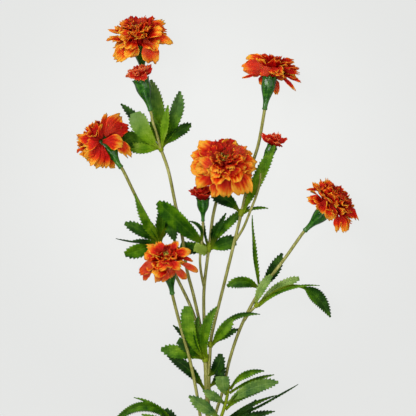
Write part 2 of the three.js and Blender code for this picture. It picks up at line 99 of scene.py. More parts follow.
ROUTES = {
    "trunk": (2.5, [(0, -6, 3.4), (0, 20, 4), (-1, 50, 5.5), FORK]),
    "top": (BRANCH_RADIUS, [
        FORK, (-8, 112, 9), (-15, 143, 10), (-21, 166, 10), (-26, 201, 13), (-32, 229, 16), (-40, 267, 19),
        (-48, 290, 20), (-56, 320, 16), (-63, 345, 11), *bloom_end("top")]),
    "top_bud": (SHOOT_RADIUS, [(-46.5, 284, 20), (-51, 302, 27), (-55, 314, 31), *bud_end("top")]),
    "left": (BRANCH_RADIUS, [
        FORK, (-9, 106, 6.5), (-18, 131, 5), (-30, 156, 4), (-42, 181, 4.5), (-50, 197, 9), (-58.5, 214, 17),
        (-71.5, 239, 28), *bloom_end("left")]),
    "low": (BRANCH_RADIUS, [
        (-1, -4, 4), (-7, 16, 7), (-10, 36, 9), (-18, 76, 11.5), (-28, 112, 11), *bloom_end("low")]),
    "middle": (BRANCH_RADIUS, [
        FORK, (-4, 116, 7.5), (-4, 146, 7), (-1, 174, 6), (2, 196, 5), (5, 220, 4), (10, 240, 3.4),
        *bloom_end("middle")]),
    "middle_bud": (SHOOT_RADIUS, [
        (-4, 150, 7), (-7, 164, 9), (-8, 178, 12), (-6, 195, 13), *bud_end("middle")]),
    "right_top": (BRANCH_RADIUS, [
        (1.4, 36, 5.2), (1.0, 56, 6.4), (1.8, 78, 7.2), (3.2, 98, 8), (7.5, 118, 9), (14.5, 146, 11),
        (26, 193, 15), (33, 222, 18), (44, 271, 22), (50, 291, 24), *bloom_end("right_top")]),
    "right_bud": (SHOOT_RADIUS, [
        (27.5, 196, 15), (35, 208, 20), (42, 225, 25), (48.5, 242, 28.5), (52, 256, 30), *bud_end("right")]),
    "right": (BRANCH_RADIUS, [
        (1, -4, 4), (9, 27, 5), (15, 46, 5.5), (21.5, 76, 7), (33.5, 111, 9), (50.5, 143, 12.5),
        (76, 177, 17), *bloom_end("right")]),
    "side_shoot": (SHOOT_RADIUS, [(36, 116, 9.5), (42.5, 125, 12), (51, 133.5, 15)]),
    "front_shoot": (SHOOT_RADIUS, [(0, -2, 3.5), (7, 9, 11), (13, 20, 15), (18, 36, 18), (21, 52, 20)]),
    "low_shoot": (SHOOT_RADIUS, [(0, -16, 3.5), (-9, -12, 6), (-22, 0, 9), (-37, 12, 11)]),
}


def smooth_route(points, spacing):
    """Evenly spaced points on a centripetal curve through the given ones."""
    corners = [Vector(point) for point in points]
    corners = [2 * corners[0] - corners[1], *corners, 2 * corners[-1] - corners[-2]]
    fine = []
    for before, start, end, after in zip(corners, corners[1:], corners[2:], corners[3:]):
        pairs = ((before, start), (start, end), (end, after))
        first, span, last = ((far - near).length ** 0.5 for near, far in pairs)
        leave = (start - before) / first - (end - before) / (first + span) + (end - start) / span
        arrive = (end - start) / span - (after - start) / (span + last) + (after - end) / last
        for step in range(ROUTE_STEPS):
            t = step / ROUTE_STEPS
            point = start * (2 * t ** 3 - 3 * t ** 2 + 1) + end * (3 * t ** 2 - 2 * t ** 3)
            fine.append(point + (leave * (t ** 3 - 2 * t ** 2 + t) + arrive * (t ** 3 - t ** 2)) * span)
    fine.append(corners[-2])
    travelled = [0.0]
    for near, far in zip(fine, fine[1:]):
        travelled.append(travelled[-1] + (far - near).length)
    count = max(2, round(travelled[-1] / spacing))
    even, place = [], 0
    for step in range(count + 1):
        wanted = travelled[-1] * step / count
        while place < len(fine) - 2 and travelled[place + 1] < wanted:
            place += 1
        share = (wanted - travelled[place]) / (travelled[place + 1] - travelled[place])
        even.append(fine[place].lerp(fine[place + 1], share))
    return even


def draw_out(bm, stations, radii, sides, rib_depth=0.0):
    """A closed rod: a ribbed disc is extruded from station to station, turned and resized on the way."""
    ways = [(far - near).normalized() for near, far in zip(stations, stations[1:])]
    ways = [ways[0], *[(a + b).normalized() for a, b in zip(ways, ways[1:])], ways[-1]]
    stand = Vector((0, 0, 1)).rotation_difference(ways[0]).to_matrix().to_4x4()
    stand = Matrix.Translation(stations[0]) @ stand
    disc = bmesh.ops.create_circle(bm, cap_ends=True, radius=radii[0], segments=sides, matrix=stand)
    ring = disc["verts"]
    for vertex in ring[::2]:
        vertex.co = vertex.co.lerp(stations[0], rib_depth)
    edges = list({edge for vertex in ring for edge in vertex.link_edges})
    rod = list(ring)
    for index in range(1, len(stations)):
        grown = bmesh.ops.extrude_edge_only(bm, edges=edges)["geom"]
        ring = [item for item in grown if isinstance(item, bmesh.types.BMVert)]
        rim = set(ring)
        edges = [item for item in grown
                 if isinstance(item, bmesh.types.BMEdge) and rim.issuperset(item.verts)]
        turn = ways[index - 1].rotation_difference(ways[index]).to_matrix()
        resize = radii[index] / radii[index - 1]
        at_ring = Matrix.Translation(-stations[index - 1])
        bmesh.ops.rotate(bm, cent=stations[index - 1], matrix=turn, verts=ring)
        bmesh.ops.scale(bm, vec=(resize,) * 3, space=at_ring, verts=ring)
        bmesh.ops.translate(bm, vec=stations[index] - stations[index - 1], verts=ring)
        rod += ring
    bmesh.ops.contextual_create(bm, geom=edges)
    faces = list({face for vertex in rod for face in vertex.link_faces})
    bmesh.ops.recalc_face_normals(bm, faces=faces)
    return rod


def make_piece(name, bm, finishes, slot, *nodes):
    """Brings the mesh to metres, gives it its finishes, and lets it stand for its solid."""
    bmesh.ops.scale(bm, vec=(MILLIMETRE,) * 3, verts=bm.verts)
    for face in bm.faces:
        face.smooth = True
    mesh = bpy.data.meshes.new(name)
    bm.to_mesh(mesh)
    bm.free()
    for finish in finishes:
        mesh.materials.append(finish)
    piece = bpy.data.objects.new(name, mesh)
    bpy.context.scene.collection.objects.link(piece)
    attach(piece, "root")
    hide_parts(*nodes)
    return piece


def add_node(tree, kind, inputs=None, **settings):
    """A shader node; its inputs are plain values or other nodes' outputs, by name or by number."""
    node = tree.nodes.new("ShaderNode" + kind)
    for key, value in settings.items():
        setattr(node, key, value)
    for key, value in (inputs or {}).items():
        if isinstance(value, bpy.types.NodeSocket):
            tree.links.new(value, node.inputs[key])
        else:
            node.inputs[key].default_value = value
    return node


def calculate(tree, operation, *values):
    return add_node(tree, "Math", dict(enumerate(values)), operation=operation).outputs[0]


def noise(tree, vector, scale, detail):
    return add_node(tree, "TexNoise", {"Vector": vector, "Scale": scale, "Detail": detail}).outputs["Fac"]


def ramp(tree, factor, stops):
    """A colour band along a factor from 0 to 1."""
    node = add_node(tree, "ValToRGB", {"Fac": factor})
    band = node.color_ramp.elements
    while len(band) < len(stops):
        band.new(0.5)
    for element, (position, colour) in zip(band, stops):
        element.position = position
        element.color = (*colour, 1)
    return node.outputs["Color"]


def new_finish(name, **values):
    """A material with its Principled shader; values are those that are the same all over."""
    material = bpy.data.materials.new(name)
    material.use_nodes = True
    shader = material.node_tree.nodes["Principled BSDF"]
    for key, value in values.items():
        shader.inputs[key.replace("_", " ")].default_value = value
    return material, material.node_tree, shader


def feed(tree, shader, colour, roughness, height, distance):
    """Links the colour, the roughness and a bump to the shader."""
    bump = add_node(tree, "Bump", {"Strength": 1.0, "Distance": distance, "Height": height})
    tree.links.new(colour, shader.inputs["Base Color"])
    tree.links.new(roughness, shader.inputs["Roughness"])
    tree.links.new(bump.outputs["Normal"], shader.inputs["Normal"])


def olive_skin():
    """Olive green in long fibres and soft patches."""
    material, tree, shader = new_finish("olive stem skin", Specular_IOR_Level=0.3)
    place = add_node(tree, "TexCoord").outputs["Object"]
    drawn = add_node(tree, "Mapping", {"Vector": place, "Scale": (1, 0.12, 1)}).outputs[0]
    fibres = noise(tree, drawn, 900.0, 3.0)
    patches = noise(tree, place, 55.0, 4.0)
    share = calculate(tree, "MULTIPLY_ADD", fibres, 0.6, calculate(tree, "MULTIPLY", patches, 0.4))
    colour = ramp(tree, share, [
        (0.3, (0.12, 0.122, 0.016)), (0.5, (0.24, 0.238, 0.046)), (0.7, (0.45, 0.435, 0.15))])
    feed(tree, shader, colour, calculate(tree, "MULTIPLY_ADD", patches, 0.2, 0.4), fibres, 0.0003)
    return material


def cut_pith():
    """Pale straw with fine fibres, at the cut end."""
    material, tree, shader = new_finish("pale cut pith")
    fibres = noise(tree, add_node(tree, "TexCoord").outputs["Object"], 1500.0, 2.0)
    colour = ramp(tree, fibres, [(0.35, (0.35, 0.33, 0.12)), (0.65, (0.62, 0.6, 0.35))])
    feed(tree, shader, colour, calculate(tree, "ADD", fibres, 0.3), fibres, 0.0004)
    return material


stem_mesh = bmesh.new()
main_route = [(0, MAIN_CUT_END, MAIN_HEIGHT), (0, -50, MAIN_HEIGHT), (0, 9, MAIN_HEIGHT + 0.6)]
main_stations = smooth_route(main_route, MAIN_SPACING)
main_radii = [MAIN_RADIUS if place.y < MAIN_NARROWS_AT else MAIN_RADIUS * MAIN_NARROWED
              for place in main_stations]
draw_out(stem_mesh, main_stations, main_radii, MAIN_SIDES, RIB_DEPTH)
routes_drawn = {}
for name, (radius, points) in ROUTES.items():
    stations = smooth_route(points, BRANCH_SPACING)
    radii = [radius * (1 + BRANCH_SWELL * math.exp(-index / 2)) for index in range(len(stations))]
    draw_out(stem_mesh, stations, radii, BRANCH_SIDES, RIB_DEPTH)
    routes_drawn[name] = smooth_route(points, 1)
for face in stem_mesh.faces:
    if len(face.verts) > 4 and face.calc_center_median().y < MAIN_CUT_END + 1:
        face.material_index = 1
stem = make_piece("stem_with_branches", stem_mesh, [olive_skin(), cut_pith()], "stem", "stem")

# Leaf whorls. Where leaves leave a branch they share one small green collar. Each leaf is a narrow folded
# blade, matt as cloth, green above and greyer below, with teeth that point to its tip. A grid is cut to the
# leaf's outline, bent along its spine and given its thickness.
LEAF_FOLD = 0.38
LEAF_THICKNESS = 0.55
LEAF_COLUMNS = 6
LEAF_SEED = 100
TOOTH_LENGTH = 3.4
TOOTH_DEPTH = 1.3
TOOTH_LEAN = 0.8
TOOTHLESS_FOOT = 0.12
STALK_WIDTH = 3.0
LEGS_TO_CURVE = 0.95
ROOT_GAP = 0.4
FLOOR_GAP = 0.4
COLLAR_WALL = 1.3
COLLAR_RIB_DEPTH = 0.05
LONG_COLLAR = 15
LONG_COLLAR_WALL = 0.35


def leaf(tip, width, arch, bow, tone, **form):
    """A leaf's values. arch lifts its middle, bow swings the middle to its left, and tone is its brightness:
    partly the leaf's own green, and on the darkest leaves, which lie under others, painted shade.
    Its form may have a roll at its root and twist more at its tip, a place along it where it is widest, a
    blunt tip, a narrow stalk, a pale far half, and a root or a branch other than its whorl's."""
    return {"tip": tip, "width": width, "arch": arch, "bow": bow, "tone": tone, **form}


# Each whorl's branch, the stretch of it that the collar covers, by height in the picture, and its leaves
# Tone is partly each leaf's own green and, on the darkest leaves, painted shade where they lie under others.
WHORLS = {
    "leaves_top": ("top", 284, 292, [
        leaf((-57, 356, 9), 12.5, 2, -5, 0.45, blunt=0.3, pale=0.6),
        leaf((-28, 344, 30), 13, 8, -6, 0.1, roll=12, widest=0.66, blunt=0.1, pale=0.6),
        leaf((-39.5, 330, 38), 8.5, 8, 0, 0.7, roll=-20),
        leaf((-17, 311, 20), 12, 12, 5, -0.4, roll=25, widest=0.6, blunt=0.4),
        leaf((-87, 332, 7), 10, 4, -4, -0.7, blunt=0.1),
        leaf((-72, 323, 31), 18, 4, 6, 0.9, roll=-14, widest=0.74, blunt=0.7, pale=0.8),
        leaf((-55, 318, 21), 11, 0, 2, 0.6, roll=5, blunt=0.3),
        leaf((-87, 299, 12), 16, 8, -3, 0.0, roll=-10, blunt=0.5),
        leaf((-79, 289, 16), 11, 8, 3, 0.7, roll=10, blunt=0.7),
    ]),
    "leaves_left": ("left", 191, 199, [
        leaf((-72.5, 242, 40), 9.5, 8, 4, 0.35, roll=-15, widest=0.36),
        leaf((-58, 215, 24), 6, 3, 0, 0.2, roll=20),
        leaf((-83, 213, 16), 11, 6, -3, -0.45, roll=10, blunt=0.4),
        leaf((-75, 195.5, 18), 5, 5, 0, -0.6, roll=20),
        leaf((-92, 197.5, 8), 6, 3, 5, -0.6, roll=82),
        leaf((-83, 182, 9), 14, 7, 2, 0.05, roll=-15, blunt=0.4, pale=0.0),
        leaf((-47, 233, 12), 13, 2, -3, 0.2, widest=0.36),
        leaf((-33, 194, 20), 13, 10, 32, -0.4, roll=10, stalk=0.3),
    ]),
    "leaves_middle": ("middle", 184, 193, [
        leaf((-50, 234, 25), 17.5, 14, 1, -0.15, roll=-8, root=188, widest=0.66, blunt=0.5, pale=0.0),
        leaf((-28, 190, 6), 12, 1, 3, -0.4, blunt=0.6),
        leaf((-19, 215, 32), 4.2, 8, -13, -0.6, roll=-25, root=196, branch="middle_bud"),
        leaf((-6, 220, 12), 4, 3, 2, -0.8, roll=40, root=190),
        leaf((-14, 189.5, 22), 9, 5, 0, 1.9, roll=12, root=184, widest=0.2, blunt=9.0),
        leaf((18, 223, 12), 6.5, 4, 2, -0.4, roll=20, root=190),
        leaf((13, 215, 6), 8, 2, 3, -0.6, root=192),
        leaf((42, 229.5, 9), 8.5, 6, 8, -0.1, root=189),
        leaf((28, 195.5, 9), 14, 4, 2, -0.3, root=187, blunt=0.8),
    ]),
    "leaves_strap": ("right_top", 220, 227, [
        leaf((4, 242, 12), 14, 2, -6, -0.9, widest=0.66, blunt=0.5),
        leaf((66, 290, 42), 11.5, -4, 1, 0.6, roll=-4, blunt=0.3),
        leaf((60, 227.5, 20), 3.4, 5, 5.5, 0.2, roll=20),
    ]),
    "leaves_right": ("right", 143, 150, [
        leaf((44, 221, 22), 7, 6, 4, 0.3, roll=52, widest=0.3),
        leaf((19, 150, 18), 12, 8, -13, 0.15, roll=-10, blunt=0.2),
        leaf((74, 183, 6), 12, 0, -3, -0.8, blunt=0.1),
    ]),
    "leaves_arching": ("side_shoot", 129.5, 133, [
        leaf((122, 119, 7), 13.5, 27, 52, -0.5, roll=-10, twist=-6, widest=0.45, stalk=0.56),
        leaf((63, 161, 25), 8.5, 6, 5, 0.9, roll=175, widest=0.5, blunt=0.8),
        leaf((91, 158, 16), 8, 2, 9, 1.0, roll=185, blunt=1.2),
        leaf((111, 151, 28), 3, 10, 14, 0.3),
    ]),
    "leaves_fork": ("trunk", 74, 82, [
        leaf((-20, 130.5, 24), 13.5, 8, 11, 0.4, roll=-15, widest=0.7, blunt=1.0),
        leaf((-10, 120, 21), 9, 4, 8, -0.1, roll=20),
        leaf((9, 130, 26), 11, 12, 15, 0.35, roll=10, blunt=0.1),
        leaf((-35, 111, 6), 7, 2, -4, -0.8),
        leaf((-47, 87, 5), 13, 4, -2, 0.3, widest=0.66, blunt=0.2),
        leaf((-30, 96, 8), 12, 4, -2, -0.4, blunt=0.7),
    ]),
    "leaves_fork_right": ("right_top", 89, 95, [
        leaf((24.5, 118, 22), 11, 8, 2, 0.45, roll=10, widest=0.64, blunt=0.3),
        leaf((52, 122, 14), 6.5, 12, 24, 0.0, roll=45, twist=-25),
        leaf((31, 107, 5), 8, 0, 5, -0.5, roll=10),
    ]),
    "leaves_trunk": ("trunk", 44, 62, [
        leaf((-41, 81, 4), 11, 0, -8, -1.0, root=47, blunt=0.2),
        leaf((12, 83, 16), 12, 5, -6, -0.8, roll=20, root=60, blunt=0.35),
        leaf((15, 73, 12), 9, 5, -6, -1.0, root=50, blunt=0.3),
    ]),
    "leaves_front": ("front_shoot", 12, 50, [
        leaf((-19, 41, 20), 13, 8, -1, 0.1, roll=170, root=19),
        leaf((-5, 47, 28), 9.5, 8, -1, 0.0, roll=180, root=34),
        leaf((14, 61, 28), 14, 4, 2, 0.2, roll=180, root=42, widest=0.7, blunt=1.4),
        leaf((56, 66, 26), 8, 6, 13, 0.3, roll=25, root=48),
        leaf((66, 62, 17), 5, 8, 6, 0.2, roll=25, root=44),
        leaf((70, 55, 27), 12.5, 8, 10, 0.1, roll=180, root=34, blunt=0.3),
        leaf((68, 55, 14), 11, 12, 11, 0.0, roll=10, root=28, blunt=0.2),
        leaf((90, 52, 6), 6, 10, -2, -0.7, roll=65, root=12),
        leaf((48, 37, 12), 8, 4, -7, -1.0, roll=10, root=12),
        leaf((69, 41, 5), 5, 8, 9, 0.2, roll=30, root=10),
        leaf((67, 25, 5), 8, 8, 4, -0.7, root=10),
    ]),
    "leaves_low": ("low_shoot", -2, 10, [
        leaf((-99, 8, 6), 10, 22, -52, 0.1, roll=-10),
        leaf((-74, 39, 14), 8, 6, -12, 0.2, roll=68),
        leaf((-66, 23, 24), 9, 10, -4, 0.4, roll=-15),
        leaf((-70, -8, 6), 12, 8, 4, 0.0),
        leaf((-46, -20, 8), 10, 8, 3, -0.3, roll=10, root=0),
        leaf((-44, 27, 14), 12, 4, 2, -1.0, roll=10, blunt=0.8),
        leaf((-21, 19, 20), 9, 8, 2, 0.0, roll=10),
    ]),
}


class Spine:
    """The line that a blade is bent along, with the way its upper face looks at its root and at its tip."""

    def __init__(self, root, bend, tip, face_root, face_tip):
        self.root, self.bend, self.tip = root, bend, tip
        self.face_root, self.face_tip = face_root, face_tip

    def way(self, u):
        return ((self.bend - self.root) * (1 - u) + (self.tip - self.bend) * u).normalized()

    def point(self, u, across, lift):
        """The point at u along, moved across the blade and up from its upper face."""
        way = self.way(u)
        middle = self.root * (1 - u) ** 2 + self.bend * (2 * u * (1 - u)) + self.tip * u ** 2
        face = self.face_root.lerp(self.face_tip, u)
        face = (face - way * face.dot(way)).normalized()
        return middle + way.cross(face) * across + face * lift


def bowed_spine(root, tip, arch, bow, roll, twist=0):
    """A spine between two places: bow swings its middle to its left and arch lifts it."""
    root, tip = Vector(root), Vector(tip)
    chord = tip - root
    left = Vector((-chord.y, chord.x, 0)).normalized()
    bend = (root + tip) / 2 + left * bow + Vector((0, 0, arch))
    faces = []
    for way, angle in ((bend - root, roll), (tip - bend, roll + twist)):
        way = way.normalized()
        face = (Vector((0, 0, 1)) - way * way.z).normalized()
        faces.append(Matrix.Rotation(math.radians(angle), 3, way) @ face)
    return Spine(root, bend, tip, *faces)


def blade_layers(bm):
    """What the finishes read: the place along and across a blade, the blade's own shade and paleness, and
    how far a fold lifts it there, which the petal finishes paint as shade and light."""
    return [bm.verts.layers.float.new(name) for name in ("along", "across", "shade", "pale", "fold")]


def lay_blade(bm, layers, rows, columns, shade, pale, place):
    """A flat grid, root to tip along y, whose every vertex goes where place(row, u, s) says: u is 0 at the
    root and 1 at the tip, and s is -1 and 1 at the sides."""
    along, across, own, paleness, _ = layers
    grid = bmesh.ops.create_grid(bm, x_segments=columns, y_segments=rows, size=0.5)["verts"]
    for vertex in grid:
        u, s = vertex.co.y + 0.5, 2 * vertex.co.x
        vertex[along], vertex[across], vertex[own], vertex[paleness] = u, s, shade, pale
        vertex.co = place(round(u * rows), u, s)
    return grid


def above_floor(point):
    """A soft blade that reaches the floor lies flat on it."""
    return Vector((point.x, point.y, max(point.z, FLOOR_GAP)))


def nearest(stations, height):
    """The number of the station nearest to a height in the picture."""
    return min(range(len(stations)), key=lambda index: abs(stations[index].y - height))


def leaf_half_width(u, width, widest, blunt):
    """Half a leaf's width at u along: it widens from its root, then closes to a more or less blunt tip."""
    if u < widest:
        return width / 2 * math.sin(math.pi / 2 * max(0.0, u) / widest)
    closing = ((u - widest) / (1 - widest)) ** (1.6 + 2.4 * blunt)
    return width / 2 * max(0.0, 1 - closing) ** (0.9 - 0.3 * min(1, blunt))


def lay_leaf(bm, layers, dice, branch, root, tip, width, arch, bow, tone, roll=0, twist=0, widest=0.56,
             blunt=0.0, stalk=0.0, pale=0.15):
    """A leaf from its place on the branch to its tip."""
    stations, radius = routes_drawn[branch], ROUTES[branch][0]
    at = min(max(nearest(stations, root), 1), len(stations) - 2)
    run = (stations[at + 1] - stations[at - 1]).normalized()
    reach = Vector(tip) - stations[at]
    foot = stations[at] + (reach - run * reach.dot(run)).normalized() * (radius + ROOT_GAP)
    spine = bowed_spine(foot, tip, arch, bow, roll, twist)
    length = ((spine.bend - foot).length + (spine.tip - spine.bend).length) * LEGS_TO_CURVE
    rows = 2 * max(4, round(length / TOOTH_LENGTH))
    wave, phase = dice.uniform(0.02, 0.05) * width, dice.uniform(0, math.tau)
    fold = LEAF_FOLD * dice.uniform(0.6, 1.5)
    upright = -1 if 90 < roll % 360 < 270 else 1

    def place(row, u, s):
        edge = abs(s) > 0.99
        tooth = edge and row % 2 == 1
        open_part = (u - stalk) / (1 - stalk)
        least = STALK_WIDTH / 2 if open_part < 0.4 else 0.15
        half = max(leaf_half_width(open_part, width, widest, blunt), least)
        if edge and open_part > TOOTHLESS_FOOT:
            half += TOOTH_DEPTH * min(0.6, half / 6) * (1 if tooth and u < 0.99 else -0.8)
        forward = min(1, u + (TOOTH_LEAN / rows if tooth else 0))
        spread = math.copysign(abs(s) ** 0.8, s) * half
        ripple = wave * s * s * math.sin(4 * math.pi * u + phase + (1.5 if s > 0 else 0))
        return above_floor(spine.point(forward, spread, (fold * abs(spread) + ripple) * upright))

    # A low tone is partly the leaf's own darker green and, near -1, painted shade on a leaf under others.
    shade = tone + dice.uniform(-0.1, 0.1)
    along = layers[0]
    for vertex in lay_blade(bm, layers, rows, LEAF_COLUMNS, shade, pale, place):
        u = vertex[along]
        if u < stalk:
            vertex[along] = 0.1 * u / stalk
        elif stalk:
            vertex[along] = 1 - (1 - u) / (1 - stalk) * 0.75


def weave_group():
    """Crossed threads of cloth, about a millimetre and a half apart, as a value from 0 to 1."""
    group = bpy.data.node_groups.new("woven cloth", "ShaderNodeTree")
    group.interface.new_socket("Place", in_out="INPUT", socket_type="NodeSocketVector")
    group.interface.new_socket("Threads", in_out="OUTPUT", socket_type="NodeSocketFloat")
    place = group.nodes.new("NodeGroupInput").outputs["Place"]
    bands = []
    for direction in ("X", "Y"):
        thread = {"Vector": place, "Scale": 190.0, "Distortion": 1.5, "Detail": 1.0}
        bands.append(add_node(group, "TexWave", thread, bands_direction=direction).outputs["Fac"])
    threads = calculate(group, "MULTIPLY", calculate(group, "ADD", *bands), 0.5)
    group.links.new(threads, group.nodes.new("NodeGroupOutput").inputs["Threads"])
    return group


woven_cloth = weave_group()


def read_layers(tree, *names):
    return [add_node(tree, "Attribute", attribute_name=name).outputs["Fac"] for name in names]


def fade(tree, value, start, end, first, last):
    """A value that goes from first to last while the other goes from start to end."""
    ends = {"From Min": start, "From Max": end, "To Min": first, "To Max": last}
    return add_node(tree, "MapRange", {"Value": value, **ends}).outputs[0]


def mix_colour(tree, share, colour, other):
    """A colour that turns to another, plain one by a share from 0 to 1."""
    node = add_node(tree, "Mix", {0: share, 6: colour, 7: (*other, 1)}, data_type="RGBA")
    return node.outputs[2]


def leaf_green(name, greens, vein, weave):
    """Cloth-matt green, mottled, paler along midrib and side veins and yellower at the root, with painted
    light and shade across its fold: one half of the blade is lighter than the other.
    """
    material, tree, shader = new_finish(name, Specular_IOR_Level=0.04)
    place = add_node(tree, "TexCoord").outputs["Object"]
    along, across, own, pale = read_layers(tree, "along", "across", "shade", "pale")
    threads = add_node(tree, "Group", node_tree=woven_cloth)
    tree.links.new(place, threads.inputs["Place"])
    mottle = noise(tree, place, 110.0, 4.0)
    share = calculate(tree, "MULTIPLY_ADD", own, 0.34, 0.4)
    share = calculate(tree, "ADD", share, calculate(tree, "MULTIPLY_ADD", mottle, 1.1, -0.55))
    # Painted light and shade: by its place across, one side of the blade is painted lighter than the other.
    share = calculate(tree, "MULTIPLY_ADD", across, 0.09, share)
    woven = calculate(tree, "MULTIPLY_ADD", threads.outputs[0], weave, -weave / 2)
    share = calculate(tree, "ADD", share, woven)
    green = ramp(tree, share, list(zip((0.0, 0.25, 0.5, 0.75, 1.0), greens)))
    off = calculate(tree, "ABSOLUTE", across)
    slant = calculate(tree, "MULTIPLY_ADD", along, 11.0, calculate(tree, "MULTIPLY", off, -1.6))
    line = calculate(tree, "MULTIPLY", calculate(tree, "PINGPONG", slant, 0.5), 2.0)
    side_vein = calculate(tree, "MULTIPLY", calculate(tree, "POWER", line, 6.0), 0.25)
    midrib = calculate(tree, "SUBTRACT", 1.0, calculate(tree, "MULTIPLY", off, 8.0))
    veins = calculate(tree, "MAXIMUM", side_vein, midrib)
    colour = mix_colour(tree, calculate(tree, "MULTIPLY", veins, 0.16), green, vein)
    far = calculate(tree, "MULTIPLY", fade(tree, along, 0.4, 0.9, 0.0, 1.4), mottle)
    colour = mix_colour(tree, calculate(tree, "MULTIPLY", far, pale), colour, (0.13, 0.21, 0.09))
    colour = mix_colour(tree, fade(tree, along, 0.0, 0.28, 0.6, 0.0), colour, (0.2, 0.26, 0.008))
    height = calculate(tree, "SUBTRACT", calculate(tree, "MULTIPLY", threads.outputs[0], 0.4), veins)
    feed(tree, shader, colour, calculate(tree, "MULTIPLY_ADD", mottle, 0.2, 0.45), height, 0.0003)
    return material


leaf_above = leaf_green("leaf above", [
    (0.002, 0.016, 0.001), (0.012, 0.056, 0.001), (0.055, 0.146, 0.001), (0.14, 0.26, 0.006),
    (0.27, 0.38, 0.05)], (0.13, 0.25, 0.02), 0.12)
leaf_below = leaf_green("leaf below", [
    (0.006, 0.04, 0.012), (0.03, 0.09, 0.02), (0.1, 0.19, 0.03), (0.2, 0.31, 0.06),
    (0.32, 0.44, 0.14)], (0.3, 0.42, 0.16), 0.2)
leaf_collar = leaf_green("leaf collar", [
    (0.08, 0.12, 0.006), (0.12, 0.17, 0.008), (0.16, 0.22, 0.01), (0.2, 0.26, 0.015),
    (0.26, 0.32, 0.03)], (0.3, 0.36, 0.06), 0.05)


def thicken(piece, thickness):
    """Gives blades their thickness, with the second finish on their lower faces."""
    wall = piece.modifiers.new("thickness", "SOLIDIFY")
    wall.thickness = thickness * MILLIMETRE
    wall.offset = 0.0
    wall.material_offset = 1


for number, (name, (branch, start, end, leaves)) in enumerate(WHORLS.items()):
    dice = random.Random(LEAF_SEED + number)
    leaf_mesh = bmesh.new()
    layers = blade_layers(leaf_mesh)
    for values in leaves:
        lay_leaf(leaf_mesh, layers, dice, **{"branch": branch, "root": (start + end) / 2, **values})
    blades = make_piece(name + "_blades", leaf_mesh, [leaf_above, leaf_below], "leaf", name)
    thicken(blades, LEAF_THICKNESS)

    collar_mesh = bmesh.new()
    stations = routes_drawn[branch]
    stations = stations[nearest(stations, start):nearest(stations, end) + 1]
    collar_wall = COLLAR_WALL * (LONG_COLLAR_WALL if end - start > LONG_COLLAR else 1.0)
    swell = [math.sin(math.pi * (index + 0.5) / len(stations)) ** 0.4 for index in range(len(stations))]
    radii = [ROUTES[branch][0] + collar_wall * share for share in swell]
    draw_out(collar_mesh, stations, radii, BRANCH_SIDES, COLLAR_RIB_DEPTH)
    skin = stem.data.materials[0] if name == "leaves_trunk" else leaf_collar
    make_piece(name + "_collar", collar_mesh, [skin], "leaf", name)

# Green cups. Under each head the real plant has its sepals grown together in one glossy cup with shallow
# ribs, a ring at its foot and short points at its rim. It is drawn out along the head's axis, and then
# pressed into ribs.
CUP_OUTLINE = [(-32.3, 2.0), (-31.8, 2.6), (-30.6, 2.7), (-30, 2.3), (-26.5, 2.5), (-23, 3.0), (-19.5, 3.9),
               (-16, 5.0), (-12.5, 6.1), (-9, 6.8), (-5.5, 6.9), (-3, 6.85), (-1.3, 7.1), (-0.3, 7.6)]
CUP_SIDES = 48
CUP_RIBS = 8
CUP_RIB_DEPTH = 0.022
CUP_POINT_LENGTH = 2.2
CUP_POINT_FLARE = 0.08
CUP_BEND = {"left": 1.6}
CUP_GIRTH = {"left": 1.22, "right": 1.06}
BUD_CUP_GIRTH = {"middle": 1.2, "top": 1.08}
CUP_BELLY = -17
CUP_RIM = 0.94
CUP_RIB_START = 0.15


def head_stand(head):
    """The head's own frame: x to its front, which looks up from the floor, and z from cup to petal tips."""
    axis = Vector(head["axis"]).normalized()
    front = (Vector((0, 0, 1)) - axis * axis.z).normalized()
    side = axis.cross(front)
    stand = Matrix((front, side, axis)).transposed().to_4x4()
    return Matrix.Translation(head["at"]) @ stand


def make_cup(node, head, size, bend, girth):
    """A cup; bend moves its middle to the head's side, as in a cup whose stalk comes from there, and girth
    widens its belly. u is 0 at its foot and 1 at its rim."""
    stand = head_stand(head)
    inverse = stand.inverted()

    def middle(u):
        return Vector((0, 4 * bend * u * (1 - u), 0))

    stations = []
    for height, _ in CUP_OUTLINE:
        stations.append(stand @ (middle(min(1, -height / CUP_LENGTH)) + Vector((0, 0, height * size))))
    radii = [radius * size * (girth if height > CUP_BELLY else 1) for height, radius in CUP_OUTLINE]
    bm = bmesh.new()
    along = bm.verts.layers.float.new("along")
    across = bm.verts.layers.float.new("across")
    for vertex in draw_out(bm, stations, radii, CUP_SIDES):
        flat = inverse @ vertex.co
        u = min(1, max(0, 1 + flat.z / (CUP_LENGTH * size)))
        flat -= middle(u)
        swell = math.cos(CUP_RIBS * math.atan2(flat.y, flat.x))
        vertex[along], vertex[across] = u, swell
        press = 1 + CUP_RIB_DEPTH * swell * min(1, max(0, u - CUP_RIB_START) * 3)
        flat.x, flat.y = flat.x * press, flat.y * press
        if u > CUP_RIM:
            point = (0.5 + 0.5 * swell) ** 2
            flare = 1 + CUP_POINT_FLARE * point
            flat.z += CUP_POINT_LENGTH * size * point
            flat.x, flat.y = flat.x * flare, flat.y * flare
        vertex.co = stand @ (flat + middle(u))
    make_piece(node + "_ribbed", bm, [cup_green], "calyx", node)


